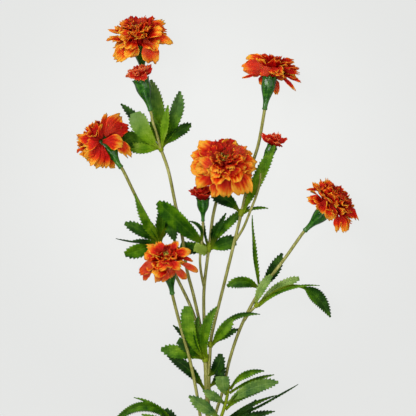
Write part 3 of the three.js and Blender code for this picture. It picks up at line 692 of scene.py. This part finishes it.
def cup_gloss():
    """Dark glossy green, paler at the foot, with painted shade between the ribs and painted light on them.
    """
    material, tree, shader = new_finish("cup green", Specular_IOR_Level=0.34)
    place = add_node(tree, "TexCoord").outputs["Object"]
    along, across = read_layers(tree, "along", "across")
    mottle = noise(tree, place, 260.0, 4.0)
    dimples = noise(tree, place, 300.0, 1.0)
    # Painted shade between the ribs and painted light on their crowns, following the rib's swell.
    green = ramp(tree, calculate(tree, "MULTIPLY_ADD", across, 0.1, mottle), [
        (0.25, (0.002, 0.03, 0.001)), (0.5, (0.012, 0.085, 0.002)), (0.75, (0.05, 0.17, 0.01))])
    colour = mix_colour(tree, fade(tree, along, 0.0, 0.25, 0.4, 0.0), green, (0.07, 0.2, 0.03))
    feed(tree, shader, colour, calculate(tree, "MULTIPLY_ADD", mottle, 0.16, 0.08), dimples, 0.0004)
    return material


cup_green = cup_gloss()
for name, head in BLOOMS.items():
    make_cup("calyx_" + name, head, 1, CUP_BEND.get(name, 0), CUP_GIRTH.get(name, 1))
for name, head in BUDS.items():
    make_cup("bud_calyx_" + name, head, head["size"], 0, BUD_CUP_GIRTH.get(name, 1))

# Ray petals. Each bloom has sixty to ninety soft petals in rings on a small cone, broad ones outside and
# narrower, more upright ones towards the middle, each with long pleats and a ruffled yellow edge. The outer
# ones hang and curl each in its own way, so the largest of them have places of their own.
PETAL_THICKNESS = 0.45
PETAL_SEED = 300
PETAL_FOOT_WIDTH = 0.22
PETAL_FULL_WIDTH_AT = 0.65
PLEATS = 4.4
NOTCH = 0.03
RING_PETAL_CELLS = (6, 10)
PLACED_PETAL_CELLS = (10, 12)
SALMON = (0.62, 0.085, 0.03)
CONE_SIDES = 20
BLOOM_CONE = [(0.2, 6.4), (2.5, 7.6), (5, 8.2), (9, 6.6), (13, 4.6), (15.8, 3.2)]


def ring(count, rise, length, width, radius, height, shade=0.0, pale=0.0, fringe=None):
    """A ring of petals. Their feet stand on the cone at this radius and height, at azimuths round the head's
    axis, 0 at its front and 90 at its side. rise has the angles of a petal's foot and tip above the plane
    across the axis, and a fringe of None grows from ring to ring."""
    return {"count": count, "rise": rise, "length": length, "width": width, "radius": radius,
            "height": height, "shade": shade, "pale": pale, "fringe": fringe}


BLOOM_RINGS = [
    ring(8, (10, -30), length=24.5, width=16, radius=5, height=2.6, shade=0.03),
    ring(8, (24, -8), length=24.5, width=16, radius=5.2, height=4.6, shade=0.0),
    ring(8, (38, 8), length=22.5, width=15.5, radius=5.2, height=6.8, shade=-0.06),
    ring(9, (50, 24), length=20, width=14, radius=4.8, height=9, shade=-0.14),
    ring(9, (60, 38), length=17, width=12, radius=4.4, height=11, shade=-0.24, pale=0.2),
    ring(9, (70, 52), length=14.5, width=10, radius=3.8, height=12.6, shade=-0.38, pale=0.5),
    ring(8, (80, 66), length=11.5, width=8, radius=3.0, height=13.6, shade=-0.46, pale=0.6),
]
BLOOM_FORMS = {
    "top": {"gaps": [(-25, 8, 0, 1)], "lift": 4, "tall": 0.9, "spread": 0.96, "crowd": 1.15, "blush": 0.35},
    "left": {"gaps": [(20, 78, 0, 3), (-100, 60, 4, 6)], "lift": 14, "spread": 0.9, "tall": 0.9},
    "right_top": {"gaps": [(-135, 20, 0, 1)], "lift": 26, "tall": 0.86, "crowd": 1.3},
    "middle": {"gaps": [(-60, 60, 0, 1), (-25, 25, 4, 6)], "back": 0.84, "crowd": 1.1, "blush": 0.45},
    "low": {"gaps": [(-30, 112, 0, 1)], "lift": 6, "tall": 0.8, "spread": 0.9, "back": 1.02, "blush": 0.2},
    "right": {"gaps": [(40, 100, 0, 1)], "lift": 27, "crowd": 1.4, "blush": 0.2, "spread": 0.94,
              "tall": 0.96},
}


def petal(root, tip, width, arch, shade, bow=0, roll=0, **form):
    """A petal with a place of its own: its spine, and its form where that isn't the usual one."""
    usual = {"pale": 0.1, "notch": NOTCH, "fringe": 0.0, "rounded": 0.35, "pleat": 0.12, "loose": 0.95}
    return bowed_spine(root, tip, arch, bow, roll), {"width": width, "shade": shade, **usual, **form}


PLACED_PETALS = {
    "top": [
        petal((-76, 396, 36), (-92, 375, 30), 16, 9, 0.26, bow=3, rounded=0.3),
        petal((-72, 396, 40), (-76, 376.5, 36), 14, 7, 0.2, bow=-1, rounded=0.2),
        petal((-63, 396, 39), (-54.5, 372.5, 33), 17.5, 9, 0.02, bow=2, pale=0.6, rounded=0.3),
        petal((-60, 399, 34), (-36, 391, 36), 11, 10, 0.14, bow=4, rounded=0.5),
        petal((-62, 404, 32), (-41, 404, 32), 8, 5, -0.25, bow=2, fringe=0.1),
        petal((-62, 404, 30), (-44, 412, 30), 12, 5, 0.05, fringe=0.1),
        petal((-78, 402, 30), (-99, 405, 32), 4, 2, -0.15, bow=2),
        petal((-78, 398, 32), (-98, 397, 30), 6, 5, 0.1, bow=4),
        petal((-74, 402, 42), (-87, 397, 42), 12, 3, 0.2, fringe=0.08),
        petal((-68, 402, 44), (-70, 396, 44), 14, 2, 0.22, fringe=0.1),
    ],
    "left": [
        petal((-102, 299, 42), (-85, 320, 34), 17, 5, 0.14, bow=2, roll=10, pale=0.3),
        petal((-100, 299, 38), (-78, 308, 34), 15, 5, -0.4, bow=3, rounded=0.4, pale=0.15),
        petal((-104, 294, 45), (-84, 291, 44), 16, 6, 0.16, bow=2),
        petal((-96, 296, 34), (-77, 280, 30), 12, 6, 0.1, bow=3, fringe=0.12),
        petal((-105, 297, 44), (-101, 321, 36), 9, 4, -0.1, bow=2, roll=30),
        petal((-106, 296, 42), (-112, 312, 38), 8, 5, -0.3, roll=-40),
        petal((-107, 296, 42), (-121, 307, 38), 8, 6, -0.2, bow=-2, fringe=0.1),
        petal((-108, 295, 44), (-129, 297, 36), 11, 7, -0.1, fringe=0.1),
        petal((-108, 293, 46), (-123, 290, 40), 12, 7, 0.12, bow=2, fringe=0.08),
        petal((-107, 292, 43), (-124, 281, 36), 12, 7, 0.0, bow=2, fringe=0.06),
        petal((-107, 291, 44), (-119, 274, 36), 14, 7, 0.1, bow=2, rounded=0.2),
        petal((-105, 290, 44), (-112, 269, 36), 14, 8, 0.16, bow=2, rounded=0.2),
        petal((-104, 289, 43), (-104, 267, 35), 13, 8, 0.14, bow=2, rounded=0.2),
        petal((-101, 287, 32), (-94, 267, 28), 9, 4, 0.1, bow=0),
        petal((-108, 298, 48), (-104, 311, 44), 4, 4, 0.35, bow=2, roll=60),
    ],
    "right_top": [
        petal((64, 366, 34), (35, 367, 34), 21, 12, 0.0, bow=-1, roll=172, pale=0.5, rounded=0.4),
        petal((60, 371, 36), (38, 376, 34), 12, 8, 0.24, bow=-4, roll=-20, rounded=0.5),
        petal((64, 366, 42), (52, 361, 44), 11, 6, -0.4, roll=170, pale=0.5),
        petal((52, 363, 34), (34, 357, 34), 3, 2, -0.3, bow=1),
        petal((55, 362, 26), (52.5, 350.5, 26), 7, 2, 0.2),
        petal((60, 360, 18), (68, 341, 16), 9.5, 0, -0.1, bow=5, roll=180, pale=1.0, rounded=0.5),
        petal((60, 360, 18), (54, 350, 16), 8, 0, 0.0, roll=180, pale=0.8),
        petal((72, 361, 30), (92, 353, 32), 3.6, 3, -0.3, bow=1, fringe=0.1),
        petal((70, 360, 30), (86.5, 345, 30), 3.8, 4, -0.3, bow=2, fringe=0.1),
        petal((74, 366, 32), (89, 365, 32), 7, 4, -0.2, bow=2, fringe=0.15),
        petal((72, 364, 34), (90, 361, 34), 5, 4, -0.1, bow=2, fringe=0.15),
        petal((70, 370, 30), (85, 374, 30), 8, 3, -0.05, bow=2, fringe=0.1),
        petal((66, 366, 40), (74, 361, 42), 11, 3, 0.1, fringe=0.12),
        petal((64, 368, 42), (66, 361, 44), 10, 3, -0.1, fringe=0.12),
    ],
    "middle": [
        petal((24, 268, 50), (37, 242, 44), 21, 5, 0.14, bow=2, rounded=0.2),
        petal((17, 264, 50), (17, 238, 43), 19, 5, 0.24, bow=1, pleat=0.1),
        petal((8, 266, 50), (-11, 249, 44), 19, 5, 0.24, bow=-2, pleat=0.1),
        petal((10, 262, 46), (6, 239, 40), 12, 4, 0.12, pale=0.3),
        petal((6, 270, 46), (-17, 268, 42), 20, 4, 0.1, bow=1, pleat=0.1),
        petal((8, 274, 52), (-8, 264, 50), 16, 6, 0.12, bow=3, pale=0.4),
        petal((8, 270, 56), (-6, 277, 52), 13, 6, 0.05, bow=3, pale=0.5),
        petal((10, 280, 44), (-9, 292, 40), 18, 4, 0.16, bow=1),
        petal((14, 282, 42), (6, 294.5, 38), 16, 4, -0.04, pale=0.4, pleat=0.14, loose=1.1, fringe=0.06),
        petal((4, 276, 42), (-16, 281, 38), 16, 4, 0.1),
        petal((28, 278, 42), (45, 279, 39), 16, 4, 0.06, bow=-1),
        petal((26, 266, 42), (44, 256, 39), 17, 4, 0.12),
        petal((18, 282, 44), (24, 296, 41), 17, 3, 0.08, pleat=0.1),
        petal((16, 282, 48), (14, 292.5, 47), 12, 3, -0.6, pleat=0.16, loose=1.3, fringe=0.08),
        petal((20, 280, 50), (29, 288.5, 48), 13, 4, -0.45, pale=0.9, pleat=0.16, loose=1.3, fringe=0.08),
        petal((24, 278, 50), (37, 281, 48), 12, 4, -0.45, pale=0.8, pleat=0.16, loose=1.3, fringe=0.08),
        petal((26, 280, 46), (38, 287, 44), 13, 4, -0.1, pale=0.8, pleat=0.14, loose=1.0, fringe=0.06),
        petal((12, 281, 50), (5, 289, 50), 11, 4, -0.4, pleat=0.16, loose=1.3, fringe=0.08),
        petal((13, 284, 53), (11, 290, 54), 8, 3, -0.65, loose=1.3, fringe=0.1),
        petal((19, 284, 53), (22, 288.5, 54), 8, 3, -0.6, loose=1.3, fringe=0.1),
        petal((28, 272, 46), (48, 272, 43), 20, 5, 0.1, bow=-1, pleat=0.1),
        petal((24, 274, 54), (38, 268, 50), 14, 6, 0.05, pleat=0.12),
        petal((16, 268, 56), (18, 257, 58), 9, 5, 0.24),
        petal((12, 268, 57), (3, 260, 58), 13, 5, 0.12, pleat=0.12),
        petal((22, 268, 57), (30, 259, 56), 13, 5, 0.12, pleat=0.12),
    ],
    "low": [
        petal((-46, 174, 46), (-68, 163, 40), 13, 10, -0.12, bow=-3, pale=1.0, rounded=0.5),
        petal((-54, 170, 44), (-63, 156, 38), 7, 6, -0.1, bow=-3, pale=1.0),
        petal((-42, 172, 50), (-48, 155, 42), 17, 7, -0.05, bow=-1, pale=1.0, rounded=0.5),
        petal((-36, 172, 48), (-22, 158, 42), 7.5, 7, -0.1, bow=1, pale=1.0, rounded=0.2, notch=0.0),
        petal((-38, 173, 49), (-35.5, 159.5, 43), 12, 6, -0.05, pale=0.8, rounded=0.3),
        petal((-30, 174, 46), (-10.5, 165, 42), 6.5, 7, -0.1, bow=3, pale=0.9, rounded=0.2, notch=0.0),
        petal((-30, 180, 44), (-15, 175, 44), 4, 4, -0.1, bow=2),
        petal((-34, 182, 48), (-17.5, 184.5, 48), 10, 5, 0.14, bow=2, pleat=0.1),
        petal((-46, 183, 46), (-60, 189, 44), 11, 4, 0.12, bow=-1, fringe=0.08),
        petal((-48, 180, 46), (-63, 181, 46), 8, 5, 0.1, bow=2, fringe=0.08),
        petal((-40, 176, 56), (-49, 168, 56), 11, 4, 0.2, fringe=0.08),
        petal((-38, 176, 57), (-38, 168, 57), 9, 4, 0.16, fringe=0.08),
        petal((-36, 176, 56), (-28, 168, 56), 10, 4, 0.2, fringe=0.08),
        petal((-36, 186, 46), (-31, 195, 44), 7, 3, 0.0, fringe=0.15),
        petal((-46, 184, 48), (-49, 195, 46), 10, 3, -0.05, fringe=0.12),
    ],
    "right": [
        petal((122, 233, 44), (122, 217, 38), 13, 4, 0.06, bow=-1, fringe=0.08),
        petal((116, 236, 42), (110, 224, 36), 12, 4, 0.0, bow=1),
        petal((127, 224, 38), (128, 206, 36), 8, 4, 0.05, bow=1, fringe=0.12),
        petal((130, 224, 36), (135.5, 203, 34), 8, 5, 0.12, bow=2, fringe=0.12),
        petal((132, 224, 32), (138.5, 206, 30), 6, 4, 0.0, bow=3),
        petal((134, 230, 34), (147, 217, 32), 10, 4, -0.08, bow=2, fringe=0.12),
        petal((116, 236, 34), (98, 237, 34), 10, 4, 0.05, bow=1, fringe=0.08),
        petal((112, 244, 30), (98, 246, 30), 3, 4, -0.3, bow=-3),
        petal((114, 242, 30), (104, 253, 28), 6, 3, 0.0, fringe=0.12),
        petal((117, 242, 30), (112, 255, 26), 7, 3, -0.1, fringe=0.15),
        petal((120, 242, 30), (119, 257, 24), 9, 3, 0.05, fringe=0.15),
        petal((124, 238, 42), (129, 230, 42), 8, 3, 0.3, bow=-2, roll=50),
    ],
}


def ring_spine(azimuth, start, end, length, radius, height, turn, sway):
    """The spine of a petal on the cone. turn twists its tip, and sway moves the tip sideways."""
    out = Vector((math.cos(math.radians(azimuth)), math.sin(math.radians(azimuth)), 0))
    up = Vector((0, 0, 1))
    ways, faces = [], []
    for angle in (math.radians(start), math.radians(end)):
        ways.append(out * math.cos(angle) + up * math.sin(angle))
        faces.append(up * math.cos(angle) - out * math.sin(angle))
    ways[1] = (ways[1] + up.cross(out) * sway).normalized()
    faces[1] = Matrix.Rotation(math.radians(turn), 3, ways[1]) @ faces[1]
    root = out * radius + up * height
    bend = root + ways[0] * length / 2
    return Spine(root, bend, bend + ways[1] * length / 2, *faces)


def lay_petal(bm, layers, stand, spine, dice, cells, width, shade, pale, notch, fringe, rounded, pleat,
              loose=1.0):
    """A petal along its spine: cupped, pleated and ruffled, as loose as told. rounded shortens the corners
    of its tip, notch makes soft lobes there and fringe uneven points."""
    waves, phase = dice.choice((1, 1.5, 2)), dice.uniform(0, math.tau)
    lobes, lobe_phase = dice.choice((2, 3, 4)), dice.uniform(0, math.tau)
    cup, ruffle = dice.uniform(-0.2, 0.4), dice.uniform(0.1, 0.3)
    flutter, flutter_phase = dice.uniform(0.05, 0.25), dice.uniform(0, math.tau)
    curl = dice.uniform(-0.25, 0.14)
    crease, crease_place = dice.uniform(-0.3, 0.45), dice.uniform(-0.4, 0.4)
    points = [dice.uniform(-1, 1) for _ in range(cells[1] + 1)]
    folds = []

    def place(row, u, s):
        u = u ** 0.8
        opened = min(1.0, u / PETAL_FULL_WIDTH_AT)
        opened = opened * opened * (3 - 2 * opened)
        half = width / 2 * (PETAL_FOOT_WIDTH + (1 - PETAL_FOOT_WIDTH) * opened)
        uneven = notch * math.cos(lobes * math.pi * s + lobe_phase)
        uneven += fringe * points[round((s + 1) / 2 * cells[1])]
        reach = u * (1 - rounded * abs(s) ** 3 * u * u) + uneven * u ** 6
        lift = cup * half * s * s * u + ruffle * half * u ** 2 * math.sin(waves * math.pi * s + phase)
        lift += crease * half * math.hypot(s - crease_place, 0.1) * opened
        lift += flutter * half * abs(s) ** 3 * u * math.sin(2.6 * math.pi * u + flutter_phase + s)
        lift = lift * loose + pleat * half * math.cos(PLEATS * math.pi * s + phase) * u
        folds.append(lift / half)
        lift += curl * half * u ** 4
        return above_floor(stand @ spine.point(reach, half * s * (1 - 0.1 * u ** 8), lift))

    for vertex, fold in zip(lay_blade(bm, layers, *cells, shade, pale, place), folds):
        vertex[layers[4]] = fold


def lay_cone(bm, layers, stand, outline):
    """The cone that the petals stand on; its shade is that of a petal's foot."""
    stations = [Vector((0, 0, height)) for height, _ in outline]
    along, across, own = layers[:3]
    for vertex in draw_out(bm, stations, [radius for _, radius in outline], CONE_SIDES):
        vertex[along], vertex[across], vertex[own] = 0.1, 0.0, -0.1
        vertex.co = stand @ vertex.co


def in_gap(azimuth, ring, gaps):
    """Whether a gap, from one azimuth to another and from one ring to another, takes this petal away."""
    turned = (azimuth + 180) % 360 - 180
    return any(start <= turned <= end and first <= ring <= last for start, end, first, last in gaps)


def lay_head(bm, head, rings, placed, outline, dice, gaps=(), lift=0, tall=1.0, back=1.0, spread=1.0,
             crowd=1.0, blush=0.0, cells=RING_PETAL_CELLS):
    """All the petals of a head. Its rings leave the gaps open, lift raises the outer ones, spread and tall
    stretch them across and along the axis, back shortens the petals at the back, crowd makes them more and
    narrower, and blush reddens the upper ones at the back."""
    layers = blade_layers(bm)
    size = head["size"]
    stand = head_stand(head) @ Matrix.Diagonal((size * spread, size * spread, size * tall, 1))
    lay_cone(bm, layers, stand, outline)
    for number, form in enumerate(rings):
        raised = lift * max(0, 1 - number / 3)
        fringe_most = 0.07 + 0.012 * number if form["fringe"] is None else form["fringe"]
        pleat = 0.07 + 0.03 * number
        count = round(form["count"] * crowd)
        for index in range(count):
            azimuth = 360 / count * (index + 0.5 * (number % 2) + dice.uniform(-0.4, 0.4))
            behind = (1 - math.cos(math.radians(azimuth))) / 2
            start = form["rise"][0] + raised / 2 + dice.uniform(-12, 12)
            end = form["rise"][1] + raised + dice.uniform(-22, 22)
            length = form["length"] * dice.uniform(0.8, 1.1) * (1 + (back - 1) * behind)
            turn, sway = dice.uniform(-35, 35), dice.uniform(-0.35, 0.35)
            spine = ring_spine(azimuth, start, end, length, form["radius"], form["height"], turn, sway)
            width = form["width"] * dice.uniform(0.7, 1.2) / crowd ** 0.7
            shade = head["warmth"] + dice.uniform(-0.2, 0.14) + form["shade"]
            pale = max(0, dice.uniform(-0.5, 0.4) + form["pale"])
            if number > 1:
                shade -= blush * behind ** 2
                pale += blush * behind ** 2
            fringe, rounded = dice.uniform(0.4, 1) * fringe_most, dice.uniform(0.1, 0.35)
            if not in_gap(azimuth, number, gaps):
                lay_petal(bm, layers, stand, spine, dice, cells, width, shade, pale, NOTCH, fringe, rounded,
                          pleat)
    for spine, form in placed:
        lay_petal(bm, layers, Matrix(), spine, dice, PLACED_PETAL_CELLS, **form)


def petal_colour(name, stops, streaking, painted_fold_shade=0.5):
    """Deep red at the foot, through orange, to a yellow edge, in streaks, and salmon where a petal is pale.
    Painted shade makes the valleys of its folds redder, and painted light makes their ridges yellower."""
    material, tree, shader = new_finish(name, Specular_IOR_Level=0.06, Subsurface_Weight=0.45,
                                        Subsurface_Radius=(1.0, 0.3, 0.08), Subsurface_Scale=0.0015)
    along, across, own, pale, fold = read_layers(tree, "along", "across", "shade", "pale", "fold")
    fan = add_node(tree, "CombineXYZ", {0: calculate(tree, "MULTIPLY", across, 3.2), 1: along,
                                        2: calculate(tree, "MULTIPLY", own, 70.0)}).outputs[0]
    streaks = noise(tree, fan, 1.4, 4.0)
    blotch = noise(tree, add_node(tree, "TexCoord").outputs["Object"], 120.0, 3.0)
    side = calculate(tree, "POWER", calculate(tree, "ABSOLUTE", across), 3.0)
    rim = calculate(tree, "MULTIPLY_ADD", along, 0.75, calculate(tree, "MULTIPLY_ADD", own, 0.6, 0.1))
    rim = calculate(tree, "MULTIPLY", side, rim)
    edge = calculate(tree, "MAXIMUM", calculate(tree, "POWER", along, 1.55), rim)
    # Painted shade and light: a petal's fold value makes its valleys redder and its ridges yellower.
    share = calculate(tree, "ADD", edge, calculate(tree, "MULTIPLY_ADD", fold, painted_fold_shade, own))
    streaked = calculate(tree, "MULTIPLY_ADD", streaks, streaking, -streaking / 2)
    share = calculate(tree, "ADD", share, streaked)
    share = calculate(tree, "ADD", share, calculate(tree, "MULTIPLY_ADD", blotch, 0.5, -0.25))
    colour = ramp(tree, share, stops)
    blush = calculate(tree, "MULTIPLY", pale, calculate(tree, "MULTIPLY_ADD", blotch, 2.4, -0.4))
    blush = calculate(tree, "MULTIPLY", blush, calculate(tree, "SUBTRACT", 1.25, edge))
    colour = mix_colour(tree, blush, colour, SALMON)
    height = calculate(tree, "MULTIPLY_ADD", blotch, 0.2, streaks)
    feed(tree, shader, colour, calculate(tree, "MULTIPLY_ADD", streaks, 0.25, 0.4), height, 0.0008)
    return material


petal_above = petal_colour("petal above", [
    (0.12, (0.33, 0.001, 0.001)), (0.38, (0.47, 0.004, 0.002)), (0.58, (0.63, 0.036, 0.004)),
    (0.76, (0.74, 0.155, 0.007)), (0.98, (0.84, 0.355, 0.028))], 0.7, 0.8)
petal_below = petal_colour("petal below", [
    (0.14, (0.36, 0.001, 0.001)), (0.42, (0.52, 0.008, 0.003)), (0.64, (0.66, 0.07, 0.007)),
    (0.9, (0.84, 0.31, 0.02))], 0.6, -0.6)
for number, (name, head) in enumerate(BLOOMS.items()):
    petal_mesh = bmesh.new()
    dice = random.Random(PETAL_SEED + number)
    lay_head(petal_mesh, head, BLOOM_RINGS, PLACED_PETALS[name], BLOOM_CONE, dice, **BLOOM_FORMS[name])
    petals = make_piece(f"petals_{name}_ruffled", petal_mesh, [petal_above, petal_below], "petal",
                        f"petals_{name}")
    thicken(petals, PETAL_THICKNESS)

# Tufts. In the middle of each bloom stand the tips of the tube florets, small yellow-green curls in a ring.
# Each is a short strip rolled inwards at its tip, laid round the top of the cone.
CURL_THICKNESS = 0.35
CURL_SEED = 500
CURL_CELLS = (4, 4)
CURL_WARMTH = 0.1
TUFT_CONE = [(15.9, 2.6), (16.6, 2.4), (17.4, 1.6)]
TUFT_RINGS = [
    ring(8, (70, 100), length=6, width=2.6, radius=2.6, height=15.6),
    ring(5, (85, 120), length=5, width=2.2, radius=1.4, height=16),
]
tuft_curl = petal_colour("tuft curl", [
    (0.1, (0.1, 0.03, 0.003)), (0.5, (0.3, 0.2, 0.012)), (1.0, (0.6, 0.45, 0.06))], 0.4)
for number, (name, head) in enumerate(BLOOMS.items()):
    tuft_mesh = bmesh.new()
    dice = random.Random(CURL_SEED + number)
    tall = BLOOM_FORMS[name].get("tall", 1.0)
    lay_head(tuft_mesh, {**head, "warmth": CURL_WARMTH}, TUFT_RINGS, [], TUFT_CONE, dice, tall=tall,
             cells=CURL_CELLS)
    tuft = make_piece(f"centre_{name}_curls", tuft_mesh, [tuft_curl, tuft_curl], "centre",
                      f"centre_{name}")
    thicken(tuft, CURL_THICKNESS)

# Buds. A half-open head shows only the tips of its red petals, crowded and still upright in the cup's mouth.
# They are the same petals, shorter and narrower, on a smaller cone.
BUD_SEED = 700
BUD_PETAL_CELLS = (5, 8)
BUD_CONE = [(0.2, 4.6), (2, 5.2), (6, 4.4), (10, 2.4)]
BUD_RINGS = [
    ring(12, (42, 12), length=14.5, width=9, radius=4.4, height=0.8, fringe=0.1),
    ring(12, (55, 34), length=14.5, width=8.5, radius=4, height=2, fringe=0.1),
    ring(10, (68, 54), length=14, width=8, radius=3.2, height=3, fringe=0.1),
    ring(9, (80, 72), length=13, width=7, radius=2, height=3.6, fringe=0.1),
]
BUD_FORMS = {
    "top": {"spread": 0.84, "lift": 18, "tall": 0.84},
    "middle": {"spread": 1.4, "lift": 36},
    "right": {"spread": 0.9, "gaps": [(45, 135, 0, 2)]},
}
PLACED_BUD_PETALS = {
    "top": [
        petal((-64, 357, 38), (-57, 369, 36), 8, 2, -0.1, fringe=0.12),
        petal((-66, 361, 42), (-62, 354.5, 45), 8, 3, -0.1, fringe=0.12),
        petal((-69, 361, 42), (-69.5, 354, 44), 8, 3, 0.0, fringe=0.12),
        petal((-71, 362, 41), (-77.5, 357, 42), 7, 3, 0.15, fringe=0.12),
        petal((-70, 362, 36), (-80, 360, 36), 6, 3, 0.15, fringe=0.12),
    ],
    "middle": [],
    "right": [
        petal((64.5, 290, 31), (53, 301, 31), 7, 2, 0.0, bow=-1, fringe=0.1),
        petal((66, 291, 33), (58, 300, 34), 7, 3, -0.15, fringe=0.1),
        petal((67, 292, 32), (64.5, 302, 33), 7, 2, -0.1, fringe=0.12),
        petal((68, 292, 31), (70, 302, 32), 7, 2, -0.1, fringe=0.12),
        petal((69, 291, 33), (73, 298, 35), 7, 2, -0.25, fringe=0.1),
        petal((70, 290, 33), (78.5, 297, 33), 5, 2, 0.0, bow=2, rounded=0.6),
    ],
}
bud_above = petal_colour("bud petal above", [
    (0.1, (0.26, 0.001, 0.001)), (0.6, (0.46, 0.006, 0.002)), (0.88, (0.62, 0.05, 0.012)),
    (1.0, (0.78, 0.2, 0.06))], 0.7)
bud_below = petal_colour("bud petal below", [
    (0.1, (0.28, 0.002, 0.001)), (0.65, (0.48, 0.01, 0.004)), (1.0, (0.7, 0.12, 0.05))], 0.5)
for number, (name, head) in enumerate(BUDS.items()):
    bud_mesh = bmesh.new()
    dice = random.Random(BUD_SEED + number)
    lay_head(bud_mesh, head, BUD_RINGS, PLACED_BUD_PETALS[name], BUD_CONE, dice, cells=BUD_PETAL_CELLS,
             **BUD_FORMS[name])
    bud = make_piece(f"bud_{name}_petals", bud_mesh, [bud_above, bud_below], "bud", f"bud_{name}")
    thicken(bud, PETAL_THICKNESS)

# Studio. The spray lies on a plain pale floor under soft light from all round, and the camera looks straight
# down on it, with the picture's upper edge towards the blooms. The floor has painted light: it glows
# where the camera sees it, hiding most shadows on it, and more in its middle, a painted pool of light.
PICTURE_WIDTH = 0.416
PICTURE_MIDDLE = (0, 0.228, 0)
CAMERA_HEIGHT = 4.0
SENSOR_WIDTH = 36
FLOOR_SIZE = 4.0
FLOOR_LEVEL = -0.0002
FLOOR_PAINTED_LIGHT = 0.9
ROOM_LIGHT = 0.35
SOFTBOXES = [
    {"name": "left softbox", "at": (-1.4, 1.2, 1.7), "size": 1.3, "power": 38},
    {"name": "right softbox", "at": (1.5, 0.6, 2.0), "size": 1.6, "power": 12},
    {"name": "overhead softbox", "at": (-0.3, 0.3, 2.6), "size": 1.2, "power": 16},
    {"name": "foot softbox", "at": (-0.3, -1.5, 1.8), "size": 1.4, "power": 10},
]


def pale_floor():
    """Matt near-white with painted light: it glows softly, more in its middle, but only where the camera
    sees it.
    """
    material, tree, shader = new_finish("pale floor", Base_Color=(0.36, 0.36, 0.355, 1), Roughness=0.9,
                                        Specular_IOR_Level=0.1)
    place = add_node(tree, "TexCoord").outputs["Object"]
    # A painted pool of light: the glow is strongest near the middle of the picture and fades outwards.
    spot = add_node(tree, "Mapping", {"Vector": place, "Location": (0.0, -0.27, 0.0)})
    off = add_node(tree, "VectorMath", {0: spot.outputs[0]}, operation="LENGTH").outputs["Value"]
    ends = {"From Min": 0.03, "From Max": 0.26, "To Min": 0.93, "To Max": 0.83}
    glow = add_node(tree, "MapRange", {"Value": off, **ends}, interpolation_type="SMOOTHSTEP")
    glow = add_node(tree, "Emission", {"Color": (0.99, 1.0, 0.985, 1), "Strength": glow.outputs[0]})
    seen = calculate(tree, "MULTIPLY", add_node(tree, "LightPath").outputs["Is Camera Ray"], FLOOR_PAINTED_LIGHT)
    blend = add_node(tree, "MixShader", {0: seen, 1: shader.outputs[0], 2: glow.outputs[0]})
    tree.links.new(blend.outputs[0], tree.nodes["Material Output"].inputs["Surface"])
    return material


floor_mesh = bmesh.new()
floor_place = Matrix.Translation((0, 0.2, FLOOR_LEVEL))
bmesh.ops.create_grid(floor_mesh, x_segments=1, y_segments=1, size=FLOOR_SIZE, matrix=floor_place)
floor_data = bpy.data.meshes.new("floor")
floor_mesh.to_mesh(floor_data)
floor_mesh.free()
floor_data.materials.append(pale_floor())
floor = bpy.data.objects.new("floor", floor_data)
bpy.context.scene.collection.objects.link(floor)

for softbox in SOFTBOXES:
    light = bpy.data.lights.new(softbox["name"], "AREA")
    light.shape = "DISK"
    light.size = softbox["size"]
    light.energy = softbox["power"]
    lamp = bpy.data.objects.new(softbox["name"], light)
    lamp.location = softbox["at"]
    aim = Vector(PICTURE_MIDDLE) - Vector(softbox["at"])
    lamp.rotation_euler = aim.to_track_quat("-Z", "Y").to_euler()
    lamp.visible_camera = False
    bpy.context.scene.collection.objects.link(lamp)

room = bpy.data.worlds.new("pale room")
room.use_nodes = True
room.node_tree.nodes["Background"].inputs["Color"].default_value = (1, 1, 1, 1)
room.node_tree.nodes["Background"].inputs["Strength"].default_value = ROOM_LIGHT
bpy.context.scene.world = room
bpy.context.scene.view_settings.view_transform = "Standard"

camera_data = bpy.data.cameras.new("camera")
camera_data.sensor_width = SENSOR_WIDTH
camera_data.lens = SENSOR_WIDTH * CAMERA_HEIGHT / PICTURE_WIDTH
camera_data.clip_end = 20
camera = bpy.data.objects.new("camera", camera_data)
camera.location = (PICTURE_MIDDLE[0], PICTURE_MIDDLE[1], CAMERA_HEIGHT)
bpy.context.scene.collection.objects.link(camera)
bpy.context.scene.camera = camera
